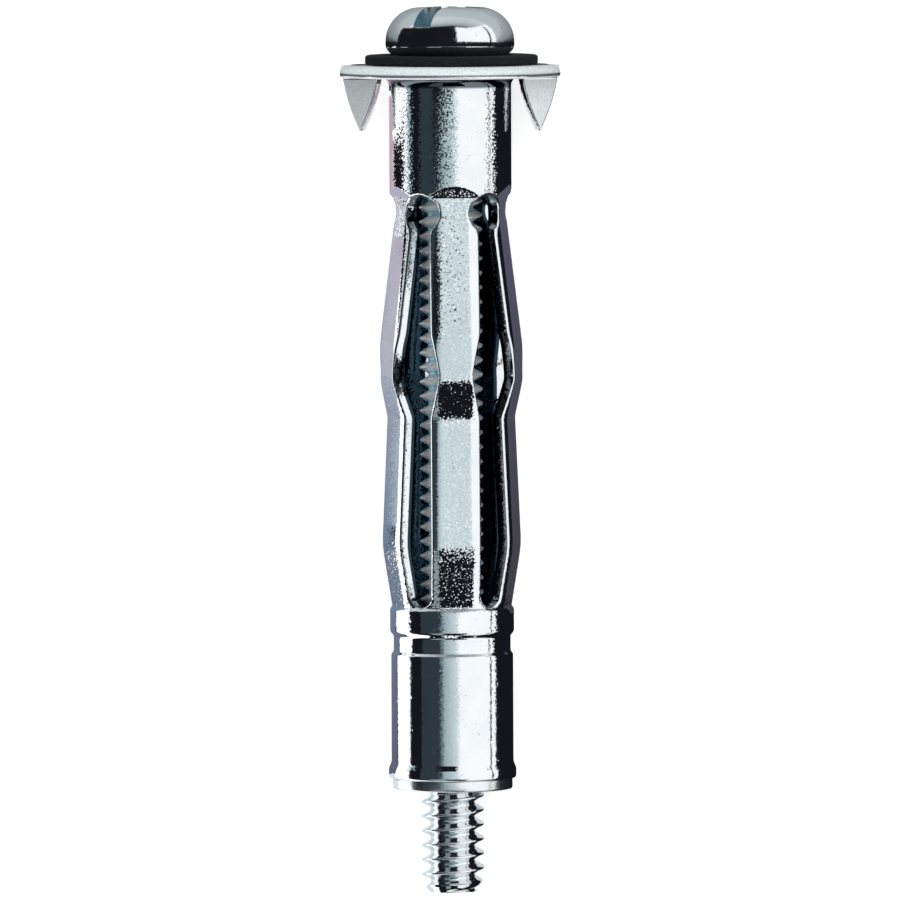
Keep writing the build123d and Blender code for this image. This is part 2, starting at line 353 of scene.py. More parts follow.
# ---------------------------------------------------------------------------- materials
class NodeSheet:
    """A small hand for wiring shader nodes."""

    def __init__(self, tree: bpy.types.NodeTree) -> None:
        """Takes over a node tree and empties it."""
        self.tree = tree
        tree.nodes.clear()

    def add(self, kind: str, **inputs: object) -> bpy.types.Node:
        """Adds a node and sets or links its inputs, named with underscores for blanks.

        Args:
            kind: The node's type.
            **inputs: A value or another node's output for each input, or i0, i1 and so on by number.

        Returns:
            The node.
        """
        node = self.tree.nodes.new(kind)
        for key, value in inputs.items():
            numbered = key[0] == "i" and key[1:].isdigit()
            self.feed(node.inputs[int(key[1:]) if numbered else key.replace("_", " ")], value)
        return node

    def feed(self, socket: bpy.types.NodeSocket, value: object) -> None:
        """Links another node's output to an input, or sets the input to a plain value.

        Args:
            socket: The input.
            value: What goes in.
        """
        if isinstance(value, bpy.types.NodeSocket):
            self.tree.links.new(value, socket)
        else:
            socket.default_value = value

    def math(self, operation: str, one: object, other: object = 0.0) -> bpy.types.NodeSocket:
        """One sum on two values.

        Args:
            operation: The kind of sum.
            one: The first value.
            other: The second value.

        Returns:
            The sum's output.
        """
        node = self.add("ShaderNodeMath", i0=one, i1=other)
        node.operation = operation
        return node.outputs[0]

    def vector(self, operation: str, one: object, other: object) -> bpy.types.NodeSocket:
        """One sum on two vectors, or on a vector and a number for SCALE.

        Args:
            operation: The kind of sum.
            one: The first vector.
            other: The second vector, or the number.

        Returns:
            The sum's output.
        """
        node = self.add("ShaderNodeVectorMath", i0=one)
        node.operation = operation
        self.feed(node.inputs[3 if operation == "SCALE" else 1], other)
        return node.outputs[0]

    def marked(self, name: str) -> bpy.types.NodeSocket:
        """A value that was written on the mesh.

        Args:
            name: Name of the mark.

        Returns:
            The mark's value.
        """
        node = self.add("ShaderNodeAttribute")
        node.attribute_name = name
        return node.outputs["Fac"]

    def mix(self, share: object, one: object, other: object) -> bpy.types.NodeSocket:
        """A blend of two colours.

        Args:
            share: How much of the second colour.
            one: The first colour.
            other: The second colour.

        Returns:
            The blend.
        """
        node = self.tree.nodes.new("ShaderNodeMix")
        node.data_type = "RGBA"
        for index, value in ((0, share), (6, one), (7, other)):
            self.feed(node.inputs[index], value)
        return node.outputs[2]

    def ramp(
        self, value: bpy.types.NodeSocket, span: Span, start: float = 0.0, stop: float = 1.0,
    ) -> bpy.types.NodeSocket:
        """A grey that runs from one level to another while a value crosses a span.

        Args:
            value: The value that is followed.
            span: Where the run begins and ends.
            start: The level below the span.
            stop: The level above the span.

        Returns:
            The grey.
        """
        node = self.add("ShaderNodeValToRGB", Fac=value)
        for element, position, level in zip(node.color_ramp.elements, span, (start, stop)):
            element.position = position
            element.color = (*grey(level), 1.0)
        return node.outputs[0]

    def millimetres(self) -> bpy.types.NodeSocket:
        """Object coordinates counted in millimetres.

        Returns:
            The place, in millimetres.
        """
        where = self.add("ShaderNodeTexCoord").outputs["Object"]
        node = self.add("ShaderNodeVectorMath", i0=where, i1=(1 / MM, 1 / MM, 1 / MM))
        node.operation = "MULTIPLY"
        return node.outputs[0]

    def noise(
        self, where: bpy.types.NodeSocket, scale: float, detail: float = 2.0, rough: float = 0.5,
    ) -> bpy.types.NodeSocket:
        """Soft noise over the surface.

        Args:
            where: The place on the object, in millimetres.
            scale: Grains per millimetre.
            detail: How many finer layers are added.
            rough: How strong the finer layers are.

        Returns:
            The noise, mostly between 0.3 and 0.7.
        """
        node = self.add("ShaderNodeTexNoise", Vector=where, Scale=scale, Detail=detail, Roughness=rough)
        return node.outputs["Fac"]


def grey(value: float) -> Colour:
    """A neutral colour."""
    return (value, value, value)


@dataclass(frozen=True)
class ZincFinish:
    """Bright zinc plate with a fine orange peel, duller on sheared faces, with painted shade (a dark tint) in
    the hollow and the other marked places.
    """

    name: str
    pale: Colour = (0.90, 0.92, 0.93)
    dull: Colour = (0.72, 0.77, 0.80)
    stain: Colour = (0.30, 0.26, 0.24)
    # Painted shade: the dark tint that the mesh's hollow mark mixes into the plate.
    painted_shade_tint: Colour = (0.018, 0.040, 0.060)
    satin_tint: Colour = (0.76, 0.83, 0.84)
    satin_grain: Colour = (0.62, 0.67, 0.66)
    satin_span: Span = (0.38, 0.55)
    cloud_scale: float = 0.55
    grain_scale: float = 8.0
    stain_scale: float = 1.3
    stain_span: Span = (0.50, 0.62)
    stain_share: float = 0.8
    speck_span: Span = (0.30, 0.36)
    roughness: float = 0.055
    least_roughness: float = 0.04
    roughness_scale: float = 2.2
    roughness_middle: float = 0.35
    roughness_swing: float = 0.10
    satin_roughness: float = 0.42
    satin_metal: float = 0.20
    peel_scale: float = 9.0
    peel_tilt: float = 0.07
    worked_tilt: float = 0.30
    pit_scale: float = 7.0
    pit_tilt: float = 0.32
    pitted_scale: float = 3.4
    pitted_span: Span = (0.58, 0.68)

    def normal(self, sheet: NodeSheet, where: bpy.types.NodeSocket) -> bpy.types.NodeSocket:
        """The surface's direction, tilted by the orange peel and here and there by a pit.

        Args:
            sheet: Where the nodes go.
            where: The place on the object, in millimetres.

        Returns:
            The tilted direction.
        """
        peel = sheet.add("ShaderNodeTexNoise", Vector=where, Scale=self.peel_scale, Detail=1.5)
        pit = sheet.add("ShaderNodeTexNoise", Vector=where, Scale=self.pit_scale, Detail=1.0)
        worked = sheet.math("MULTIPLY", sheet.marked("worked"), self.worked_tilt)
        tilt = sheet.math("ADD", worked, self.peel_tilt)
        even = (0.5, 0.5, 0.5)
        peeled = sheet.vector("SCALE", sheet.vector("SUBTRACT", peel.outputs["Color"], even), tilt)
        pitted = sheet.ramp(sheet.noise(where, self.pitted_scale), self.pitted_span)
        depth = sheet.math("MULTIPLY", pitted, self.pit_tilt)
        dented = sheet.vector("SCALE", sheet.vector("SUBTRACT", pit.outputs["Color"], even), depth)
        facing = sheet.add("ShaderNodeNewGeometry").outputs["Normal"]
        tilted = sheet.vector("ADD", facing, sheet.vector("ADD", peeled, dented))
        return sheet.vector("NORMALIZE", tilted, (0.0, 0.0, 0.0))

    def body(self, sheet: NodeSheet, where: bpy.types.NodeSocket) -> bpy.types.NodeSocket:
        """The plate's colour, with painted shade mixed in where the mesh carries the hollow mark.

        Args:
            sheet: Where the nodes go.
            where: The place on the object, in millimetres.

        Returns:
            The colour.
        """
        grain = sheet.noise(where, self.grain_scale, 3.0, 0.6)
        cloud = sheet.noise(where, self.cloud_scale, 3.0)
        body = sheet.mix(cloud, (*self.dull, 1.0), (*self.pale, 1.0))
        specks = sheet.ramp(grain, self.speck_span, 1.0, 0.0)
        places = sheet.ramp(sheet.noise(where, self.stain_scale, 3.0), self.stain_span, 0.0, self.stain_share)
        body = sheet.mix(sheet.math("MULTIPLY", specks, places), body, (*self.stain, 1.0))
        open_grain = sheet.ramp(grain, self.satin_span)
        satin = sheet.mix(open_grain, (*self.satin_grain, 1.0), (*self.satin_tint, 1.0))
        body = sheet.mix(sheet.marked("satin"), body, satin)
        # The hollow mark paints shade. It darkens the plate toward the tint in the sleeve's hollow, its slot
        # walls, its flange root and its prongs, and in the screw's recess and thread roots.
        return sheet.mix(sheet.marked("hollow"), body, (*self.painted_shade_tint, 1.0))

    def build(self) -> bpy.types.Material:
        """Makes the material.

        Returns:
            The material.
        """
        material = bpy.data.materials.new(self.name)
        material.use_nodes = True
        sheet = NodeSheet(material.node_tree)
        where = sheet.millimetres()
        patch = sheet.noise(where, self.roughness_scale, 4.0, 0.6)
        uneven = sheet.math("SUBTRACT", patch, self.roughness_middle)
        swing = sheet.math("MULTIPLY", uneven, self.roughness_swing)
        plain = sheet.math("MAXIMUM", sheet.math("ADD", swing, self.roughness), self.least_roughness)
        satin = sheet.marked("satin")
        softer = sheet.math("MULTIPLY", satin, self.satin_roughness)
        metal = sheet.math("SUBTRACT", 1.0, sheet.math("MULTIPLY", satin, 1.0 - self.satin_metal))
        shader = sheet.add(
            "ShaderNodeBsdfPrincipled",
            Base_Color=self.body(sheet, where),
            Metallic=metal,
            Roughness=sheet.math("ADD", plain, softer),
            Normal=self.normal(sheet, where),
        )
        sheet.add("ShaderNodeOutputMaterial", Surface=shader.outputs[0])
        return material


@dataclass(frozen=True)
class FibreFinish:
    """Matt black vulcanised fibre with a fuzzy, slightly uneven surface."""

    name: str
    dark: Colour = (0.004, 0.004, 0.005)
    worn: Colour = (0.018, 0.018, 0.020)
    roughness: float = 0.72
    gloss: float = 0.22
    fuzz_scale: float = 11.0
    fuzz_height: float = 0.018
    worn_span: Span = (0.42, 0.66)

    def build(self) -> bpy.types.Material:
        """Makes the material.

        Returns:
            The material.
        """
        material = bpy.data.materials.new(self.name)
        material.use_nodes = True
        sheet = NodeSheet(material.node_tree)
        where = sheet.millimetres()
        fuzz = sheet.noise(where, self.fuzz_scale, 4.0, 0.7)
        body = sheet.mix(sheet.ramp(fuzz, self.worn_span), (*self.dark, 1.0), (*self.worn, 1.0))
        height = sheet.math("MULTIPLY", fuzz, self.fuzz_height * MM)
        bump = sheet.add("ShaderNodeBump", Strength=1.0, Distance=1.0, Height=height)
        shader = sheet.add(
            "ShaderNodeBsdfPrincipled",
            Base_Color=body,
            Roughness=self.roughness,
            Normal=bump.outputs[0],
            Specular_IOR_Level=self.gloss,
        )
        sheet.add("ShaderNodeOutputMaterial", Surface=shader.outputs[0])
        return material


# ---------------------------------------------------------------------------- sleeve
class Level(IntEnum):
    """Where the sleeve's outline bends, from the collar down to the end."""

    COLLAR_END = 0
    NECK_START = 1
    NECK_END = 2
    SHOULDER = 3
    CREST = 4
    WAIST = 5
    BELLY = 6
    LEG_END = 7
    RING_START = 8
    RING_END = 9
    GROOVE_START = 10
    GROOVE_END = 11
    BARREL_START = 12
    BARREL_END = 13
    LIP_START = 14
    LIP_END = 15


@dataclass
class ExpansionSleeve:
    """The one-sheet sleeve: flange, prongs, collar, five legs, ring, groove, barrel and lip."""

    # The sheet and the flange.
    sheet: float = 0.66
    tube_radius: float = 3.337
    flange_radius: float = 6.035
    rim_rounding: float = 0.12
    rim_top_rounding: float = 0.46
    root_rounding: float = 0.48
    burnish_top: float = 0.26
    burnish_bottom: float = 0.09
    burnish_dullness: float = 0.15
    # Painted shade in the root fillet under the flange, as a share of the dark tint.
    root_fillet_painted_shade: float = 0.86
    mouth_rounding: float = 0.35
    rim_margin: float = 0.05
    flange_join: float = 0.60
    end_join: float = 0.25

    # Runs along the axis from the flange down, one for each level.
    collar: float = 6.41
    neck_step: float = 0.44
    neck: float = 0.60
    upper_flare: float = 7.15
    upper_crest: float = 1.90
    upper_fall: float = 2.05
    lower_flare: float = 7.05
    lower_fall: float = 3.30
    ring_step: float = 0.18
    ring: float = 1.23
    groove_step: float = 0.24
    groove: float = 0.83
    barrel_step: float = 0.19
    barrel: float = 5.88
    lip_flare: float = 0.36
    lip: float = 0.54

    # Radii, and how the bends between them are rounded.
    neck_radius: float = 3.04
    neck_draft: float = 0.01
    shoulder_radius: float = 3.90
    crest_radius: float = 3.935
    waist_radius: float = 3.49
    belly_radius: float = 3.80
    lower_neck_radius: float = 3.27
    ring_radius: float = 3.391
    groove_radius: float = 3.20
    lip_radius: float = 3.49
    collar_bend: float = 0.35
    neck_bend: float = 0.40
    shoulder_bend: float = 2.0
    leg_end_bend: float = 0.10
    step_bend: float = 0.16
    ring_bend: float = 0.22
    groove_bend: float = 0.12
    lip_bend: float = 0.22
    lip_rounding: float = 0.14
    bore_rounding: float = 0.10

    # The legs, their flat faces, notches, keyholes and edges.
    legs: int = 5
    front_turn: float = 4.0
    leg_width: float = 2.73
    flat_drop: float = 0.12
    facet_rise: float = 0.47
    facet_drop: float = 0.09
    facet_bend: float = 0.12
    facet_run: float = 1.0
    foot_rise: float = 0.3
    crease_share: float = 0.70
    crease_limits: Span = (0.30, 0.80)
    crease_softness: float = 0.055
    notch_depth: float = 0.46
    notch_half_length: float = 2.27
    notch_lift: float = 0.30
    notch_round: float = 1.20
    notch_end_round: float = 0.8
    keyhole_diameter: float = 2.13
    keyhole_drop: float = 0.98
    belly_bend: float = 5.0
    crest_bend: float = 1.2
    crease_blend: float = 0.03
    edge_round: float = 0.13
    edge_shares: tuple[float, ...] = (0.55, 0.22, 0.0)
    edge_drop: float = 0.065
    inner_drop_share: float = 0.6
    wall_shares: tuple[float, ...] = (0.08, 0.33, 0.60, 0.68, 0.94)
    # From this share of the way through the sheet, a slot's cut wall takes painted shade.
    wall_painted_shade_from: float = 0.64

    # The prongs and their openings in the flange.
    prong_width: float = 2.11
    prong_length: float = 2.96
    prong_bulge: float = 0.12
    prong_offset: float = 4.94
    prong_turn: float = 26.0
    prong_bend: float = 0.15
    prong_relief: float = 0.30
    prong_side_gap: float = 0.08
    prong_root: float = 0.20
    prong_edge_round: float = 0.09
    prong_tip_share: float = 0.8
    prong_reach: float = 5.99
    prong_dullness: float = 0.62
    # Painted shade on the prongs' flat faces, as a share of the dark tint.
    prong_painted_shade: float = 0.20
    prong_face_margin: float = 0.012
    prong_shares: tuple[float, ...] = (
        0.06, 0.15, 0.25, 0.35, 0.45, 0.55, 0.65, 0.74, 0.82, 0.89, 0.94, 0.975, 0.992,
    )
    prong_tip: float = 0.03
    prong_steps: int = 12
    opening_below: float = 0.45
    opening_above: float = 0.6

    # Rows and columns of the mesh.
    row_gap: float = 0.34
    fine_gap: float = 0.07
    rows_over_facet: float = 0.15
    rows_under_facet: float = 0.3
    rows_over_keyhole: tuple[float, ...] = (0.02, 0.05, 0.10)
    rows_under_legs: tuple[float, ...] = (0.03, 0.07)
    arc_step: int = 9
    flat_columns: int = 6
    fold_columns: tuple[float, ...] = (-2.0, -1.0, 0.0, 1.0, 2.0)
    shoulder_columns: int = 5
    halvings: int = 50

    def __post_init__(self) -> None:
        """Works out the heights that the methods share."""
        runs = (
            self.collar, self.neck_step, self.neck, self.upper_flare, self.upper_crest,
            self.upper_fall, self.lower_flare, self.lower_fall, self.ring_step, self.ring,
            self.groove_step, self.groove, self.barrel_step, self.barrel, self.lip_flare, self.lip,
        )
        self.at = [-float(depth) for depth in np.cumsum(runs)]
        self.half_pitch = math.pi / self.legs
        self.bore_radius = self.tube_radius - self.sheet
        self.rim_start = self.flange_radius - self.rim_top_rounding - self.rim_margin
        self.end = self.at[Level.LIP_END]
        self.keyhole_height = self.at[Level.COLLAR_END] - self.keyhole_drop
        self.meeting = self.leg_width / 2 / math.sin(self.half_pitch)
        self.spread = math.tan(self.half_pitch)
        self.slot_end = self.at[Level.LEG_END] + (self.lower_neck_radius - self.meeting) * self.spread

    def leg_corners(self, inset: float) -> list[Corner]:
        """The bends of the legs, moved in by inset.

        Args:
            inset: How far inside the outer skin.

        Returns:
            The corners, from the top down.
        """
        return [
            Corner(self.neck_radius - self.neck_draft - inset, self.at[Level.NECK_END], self.shoulder_bend),
            Corner(self.shoulder_radius - inset, self.at[Level.SHOULDER], self.belly_bend),
            Corner(self.crest_radius - inset, self.at[Level.CREST], self.crest_bend),
            Corner(self.waist_radius - inset, self.at[Level.WAIST], self.crest_bend),
            Corner(self.belly_radius - inset, self.at[Level.BELLY], self.belly_bend),
            Corner(self.lower_neck_radius - inset, self.at[Level.LEG_END], self.leg_end_bend),
        ]

    def foot_corners(self, inset: float) -> list[Corner]:
        """The corners of the ring, the groove and the barrel's start, moved in by inset.

        Args:
            inset: How far inside the outer skin.

        Returns:
            The corners, from the top down.
        """
        return [
            Corner(self.ring_radius - inset, self.at[Level.RING_START], self.step_bend),
            Corner(self.ring_radius - inset, self.at[Level.RING_END], self.ring_bend),
            Corner(self.groove_radius - inset, self.at[Level.GROOVE_START], self.step_bend),
            Corner(self.groove_radius - inset, self.at[Level.GROOVE_END], self.groove_bend),
            Corner(self.tube_radius - inset, self.at[Level.BARREL_START], self.step_bend),
        ]

    def outer_path(self) -> np.ndarray:
        """The turned outer skin from under the flange to the lip.

        Returns:
            Rows of (distance from the axis, height).
        """
        top = [
            Corner(self.tube_radius, -self.flange_join),
            Corner(self.tube_radius, self.at[Level.COLLAR_END], self.collar_bend),
            Corner(self.neck_radius, self.at[Level.NECK_START], self.neck_bend),
        ]
        end = [
            Corner(self.tube_radius, self.at[Level.BARREL_END], self.collar_bend),
            Corner(self.lip_radius, self.at[Level.LIP_START], self.lip_bend),
            Corner(self.lip_radius, self.end),
        ]
        return rounded_path(top + self.leg_corners(0) + self.foot_corners(0) + end)

    def inner_path(self) -> np.ndarray:
        """The hollow's skin from under the flange to the lip.

        Returns:
            Rows of (distance from the axis, height).
        """
        inset = self.sheet + self.flat_drop / 2
        top = [
            Corner(self.bore_radius, -self.flange_join),
            Corner(self.bore_radius, self.at[Level.COLLAR_END] + self.facet_rise),
            Corner(self.neck_radius - inset, self.at[Level.COLLAR_END] - self.facet_drop),
        ]
        end = [Corner(self.bore_radius, self.end)]
        return rounded_path(top + self.leg_corners(inset) + self.foot_corners(self.sheet) + end)

    def flat_path(self) -> np.ndarray:
        """How far the flat face of a leg stands from the axis, down its length.

        Returns:
            Rows of (distance from the axis, height).
        """
        knee_out = self.neck_radius - self.flat_drop * self.crease_share
        collar_end = self.at[Level.COLLAR_END]
        knee = Corner(knee_out, collar_end - self.facet_drop, self.facet_bend)
        start = collar_end + self.facet_rise
        slope = (self.tube_radius - knee.out) / (start - knee.height)
        top = Corner(self.tube_radius + slope * self.facet_run, start + self.facet_run)
        foot = Corner(self.ring_radius + self.foot_rise, self.at[Level.RING_START] - self.foot_rise)
        return rounded_path([top, knee] + self.leg_corners(self.flat_drop) + [foot])

    def leg_half_width(self, heights: np.ndarray) -> np.ndarray:
        """Half of a leg's width at each height, with the notch beside the crest of its upper bulge.

        Args:
            heights: Height of each row.

        Returns:
            Half of the width at each row.
        """
        half = self.leg_width / 2
        middle = self.at[Level.CREST] + self.notch_lift
        path = rounded_path([
            Corner(half, 0.0),
            Corner(half, middle + self.notch_half_length, self.notch_end_round),
            Corner(half - self.notch_depth, middle, self.notch_round),
            Corner(half, middle - self.notch_half_length, self.notch_end_round),
            Corner(half, self.end),
        ])
        return along(path, heights)

    def slot_edge(self, heights: np.ndarray, radii: np.ndarray, flats: np.ndarray) -> np.ndarray:
        """Where a slot's edge lies, as the angle from the middle of a leg.

        Args:
            heights: Height of each row.
            radii: Radius of the skin at each row.
            flats: Distance of the flat face from the axis at each row.

        Returns:
            The angle at each row, half the pitch of the legs where the tube is closed.
        """
        half = self.leg_half_width(heights)
        crease = np.arccos(np.clip(flats / radii, -1, 1))
        turned = np.arcsin(np.clip(half / radii, -1, 1))
        edge = np.where(turned < crease, np.arctan(half / flats), turned)
        rise = np.abs(heights - self.keyhole_height)
        reach = self.keyhole_diameter / 2
        across = np.sqrt(np.clip(reach * reach - rise * rise, 0, None))
        keyhole = self.half_pitch - np.arcsin(np.clip(across / radii, -1, 1))
        below = np.minimum(edge, keyhole)
        drop = np.clip(self.slot_end - heights, 0, None)
        # The rounded foot of a slot has no formula for its angle, so halving finds it.
        low, high = np.zeros_like(radii), np.full_like(radii, self.half_pitch)
        for _ in range(self.halvings):
            middle = (low + high) / 2
            gap = np.clip(radii * np.cos(middle) - self.meeting, 0, None) * self.spread
            inside = gap * gap > (radii * np.sin(middle)) ** 2 + drop * drop
            low = np.where(inside, middle, low)
            high = np.where(inside, high, middle)
        rounded = np.where(low < TINY, self.half_pitch, self.half_pitch - low)
        edges = np.where(heights > self.keyhole_height, keyhole, below)
        edges = np.where(heights < self.slot_end, rounded, edges)
        return np.minimum(edges, self.half_pitch)

    def rows(self, outer: np.ndarray, flats: np.ndarray) -> np.ndarray:
        """The heights of the mesh rows from under the flange to above the lip's end.

        Args:
            outer: The turned outline of the outer skin.
            flats: Distance of the legs' flat faces from the axis.

        Returns:
            The heights, from the top down.
        """
        reach = self.keyhole_diameter / 2
        keyhole = self.keyhole_height + reach * np.cos(np.radians(np.arange(0, 151, self.arc_step)))
        above = self.keyhole_height + reach + np.array(self.rows_over_keyhole)
        opening = (self.lower_neck_radius - self.meeting) * self.spread
        closing = self.slot_end - opening * np.sin(np.radians(np.arange(0, 91, self.arc_step)))
        below = self.at[Level.LEG_END] - np.array(self.rows_under_legs)
        facet_top = self.at[Level.COLLAR_END] + self.facet_rise + self.rows_over_facet
        facet_end = self.at[Level.NECK_START] - self.rows_under_facet
        facet = np.arange(facet_top, facet_end, -self.fine_gap)
        ends = np.array([-self.flange_join, self.end + self.end_join])
        all_rows = np.concatenate([outer[:, 1], flats[:, 1], keyhole, above, closing, below, facet, ends])
        inside = (all_rows <= -self.flange_join) & (all_rows >= self.end + self.end_join)
        return filled(all_rows[inside], self.row_gap)

    def column_angles(self, radii: np.ndarray, edges: np.ndarray, creases: np.ndarray) -> np.ndarray:
        """Angles of the mesh columns in half a leg's sector, one row of them for each height.

        Args:
            radii: Radius of the outer skin at each row.
            edges: Angle of the slot's edge at each row.
            creases: Angle where the flat face meets the round one at each row.

        Returns:
            The angles from the middle of the leg, with one row for every height.
        """
        least, most = self.crease_limits
        crease = np.clip(creases, least * edges, most * edges)[:, None]
        edge = edges[:, None]
        soft = (self.crease_softness / radii)[:, None]
        rim = (self.edge_round / radii)[:, None]
        fold = crease + soft * np.array([self.fold_columns])
        first, last = fold[:, :1], fold[:, -1:]
        flat = np.linspace(0, 1, self.flat_columns + 1)[None, :-1] * first
        shoulder = last + (edge - rim - last) * np.linspace(0, 1, self.shoulder_columns + 1)[None, 1:]
        lip = edge - rim * np.array([self.edge_shares])
        return np.hstack([flat, fold, shoulder, lip])

    def edge_distance(
        self, angles: np.ndarray, heights: np.ndarray, radii: np.ndarray, edges: np.ndarray,
    ) -> np.ndarray:
        """How far each point of a skin lies from the nearest slot edge.

        Args:
            angles: Angles of the columns, one row of them for each height.
            heights: Height of each row.
            radii: Radius of the outer skin at each row.
            edges: Angle of the slot's edge at each row.

        Returns:
            The distances, nought where a point is on an edge.
        """
        across = radii[:, None] * np.sin(self.half_pitch - angles)
        rise = heights[:, None]
        keyhole = np.hypot(across, rise - self.keyhole_height) - self.keyhole_diameter / 2
        gap = np.clip(radii - self.meeting, 0, None)[:, None] * self.spread
        end = np.hypot(across, rise - self.slot_end) - gap
        side = radii[:, None] * (edges[:, None] - angles)
        middle = np.minimum(side, np.abs(keyhole))
        distance = np.where(rise > self.keyhole_height, keyhole, middle)
        distance = np.where(rise < self.slot_end, end, distance)
        return np.clip(distance, 0, None)

    def skins(
        self, heights: np.ndarray, outer: np.ndarray, inner: np.ndarray, flats: np.ndarray,
    ) -> tuple[np.ndarray, np.ndarray, np.ndarray]:
        """Both skins of the tube in half a leg's sector, with cut edges square to the sheet.

        Args:
            heights: Height of each row.
            outer: The turned outline of the outer skin.
            inner: The outline of the hollow.
            flats: Distance of the legs' flat faces from the axis.

        Returns:
            The angles that both skins share, the outer radii and the inner radii, each with one
            row for every height.
        """
        radii = along(outer, heights)
        flattened = (heights <= flats[0, 1]) & (heights >= flats[-1, 1])
        far = np.where(flattened, along(flats, heights), FAR_OUT)
        edges = self.slot_edge(heights, radii, far)
        creases = np.arccos(np.clip(far / radii, -1, 1))
        angles = self.column_angles(radii, edges, creases)
        round_radii = np.repeat(radii[:, None], angles.shape[1], axis=1)
        surface = soft_min(round_radii, far[:, None] / np.cos(angles), self.crease_blend)
        near = np.clip(1 - self.edge_distance(angles, heights, radii, edges) / self.edge_round, 0, 1)
        drop = self.edge_drop * near * near
        hollow = np.repeat(along(inner, heights)[:, None], angles.shape[1], axis=1)
        return angles, surface - drop, hollow + drop * self.inner_drop_share

    def sector(
        self, angles: np.ndarray, radii: np.ndarray, heights: np.ndarray, turn: float, side: float,
    ) -> np.ndarray:
        """Points of one skin in one half sector; the front leg's middle is toward -Y.

        Args:
            angles: Angles of the columns from the middle of the leg.
            radii: Radius of the skin at each point.
            heights: Height of each row.
            turn: Angle of the leg about the axis, from the front.
            side: One or minus one, for the half of the leg.

        Returns:
            The points, as rows of columns of x, y and z.
        """
        way = turn - math.pi / 2 + side * angles
        tall = np.repeat(heights[:, None], angles.shape[1], axis=1)
        return np.stack([radii * np.cos(way), radii * np.sin(way), tall], axis=-1)

    def flange_path(self) -> np.ndarray:
        """The turned skin of the flange, from the bore round the rim to the tube.

        Returns:
            Rows of (distance from the axis, height).
        """
        return rounded_path([
            Corner(self.bore_radius, -self.flange_join),
            Corner(self.bore_radius, self.sheet, self.mouth_rounding),
            Corner(self.flange_radius, self.sheet, self.rim_top_rounding),
            Corner(self.flange_radius, 0, self.rim_rounding),
            Corner(self.tube_radius, 0, self.root_rounding),
            Corner(self.tube_radius, -self.flange_join),
        ])[1:-1]

    def end_path(self, lowest_row: float, bore: float) -> np.ndarray:
        """The turned skin of the sleeve's end, from the lip's outside to its bore.

        Args:
            lowest_row: Height of the lowest row of the skins.
            bore: Radius of the hollow there.

        Returns:
            Rows of (distance from the axis, height).
        """
        return rounded_path([
            Corner(self.lip_radius, lowest_row),
            Corner(self.lip_radius, self.end, self.lip_rounding),
            Corner(bore, self.end, self.bore_rounding),
            Corner(bore, lowest_row),
        ])[1:-1]

    def loop_marks(self, heights: np.ndarray, end_rows: int, flange: np.ndarray) -> dict[str, np.ndarray]:
        """The marks along a loop of rows: outer skin, sleeve end, hollow and flange.

        Args:
            heights: Height of each row of a skin.
            end_rows: How many rows go round the sleeve's end.
            flange: The turned skin of the flange.

        Returns:
            The values of each mark, one for every row of the loop.
        """
        out, height = flange[:, 0], flange[:, 1]
        outward = out > self.rim_start
        upward = (height > self.sheet - NEAR) & (out > self.tube_radius)
        rim = (outward | upward).astype(float)
        burnished = outward & (height < self.burnish_top) & (height > self.burnish_bottom)
        rim[burnished] = self.burnish_dullness
        # The fillet under the flange, which gets painted shade.
        beside_tube = np.abs(out - self.tube_radius) < self.root_rounding + NEAR
        root = beside_tube & (out > self.tube_radius - NEAR) & (height < NEAR)
        worked = np.interp(-heights, *self.worked_rows())
        none, end = np.zeros(len(heights)), np.zeros(end_rows)
        return {
            "worked": np.concatenate([worked, end, worked[::-1], np.zeros(len(flange))]),
            "satin": np.concatenate([none, end, none, rim]),
            # Painted shade: the inner skin is fully darkened, and the root fillet under the flange in part.
            "hollow": np.concatenate([none, end, np.ones(len(heights)), root * self.root_fillet_painted_shade]),
        }

    def body(self) -> bpy.types.Object:
        """The tube with its flange, slots and lip, as one closed mesh.

        Returns:
            The sleeve before its prongs are made.
        """
        outer, flats = self.outer_path(), self.flat_path()
        heights = self.rows(outer, flats)
        angles, out_radii, in_radii = self.skins(heights, outer, self.inner_path(), flats)
        open_rows = angles[:, -1] < self.half_pitch - TINY
        end_path = self.end_path(heights[-1], float(in_radii[-1, 0]))
        flange_path = self.flange_path()
        loop_marks = self.loop_marks(heights, len(end_path), flange_path)
        # Painted shade on the inner part of each slot's cut wall.
        wall_painted_shade = (np.array([0.0, *self.wall_shares, 1.0]) > self.wall_painted_shade_from).astype(float)
        marks: dict[str, list[np.ndarray]] = {key: [] for key in loop_marks}
        points: list[np.ndarray] = []
        faces: list[Face] = []
        start = 0
        for number in range(self.legs):
            for side in (-1.0, 1.0):
                turn = math.radians(self.front_turn) + number * 2 * self.half_pitch
                out = self.sector(angles, out_radii, heights, turn, side)
                into = self.sector(angles, in_radii, heights, turn, side)
                end = self.rings(end_path, angles[-1], turn, side)
                flange = self.rings(flange_path, angles[0], turn, side)
                loop = np.vstack([out, end, into[::-1], flange])
                faces.extend(self.loop_faces(len(loop), angles.shape[1], start, side < 0))
                points.append(loop.reshape(-1, 3))
                start += len(points[-1])
                wall, wall_faces = self.wall(out[:, -1], into[:, -1], open_rows, start, side < 0)
                faces.extend(wall_faces)
                points.append(wall)
                start += len(wall)
                for key, values in loop_marks.items():
                    across = wall_painted_shade if key == "hollow" else np.zeros(len(wall_painted_shade))
                    marks[key].append(np.repeat(values, angles.shape[1]))
                    marks[key].append(np.tile(across, len(wall) // len(wall_painted_shade)))
        log.info("sleeve body has %d rows and %d columns", len(heights), angles.shape[1] * self.legs * 2)
        joined = {key: np.concatenate(values) for key, values in marks.items()}
        return new_object("sleeve_sheet", np.vstack(points), faces, joined)

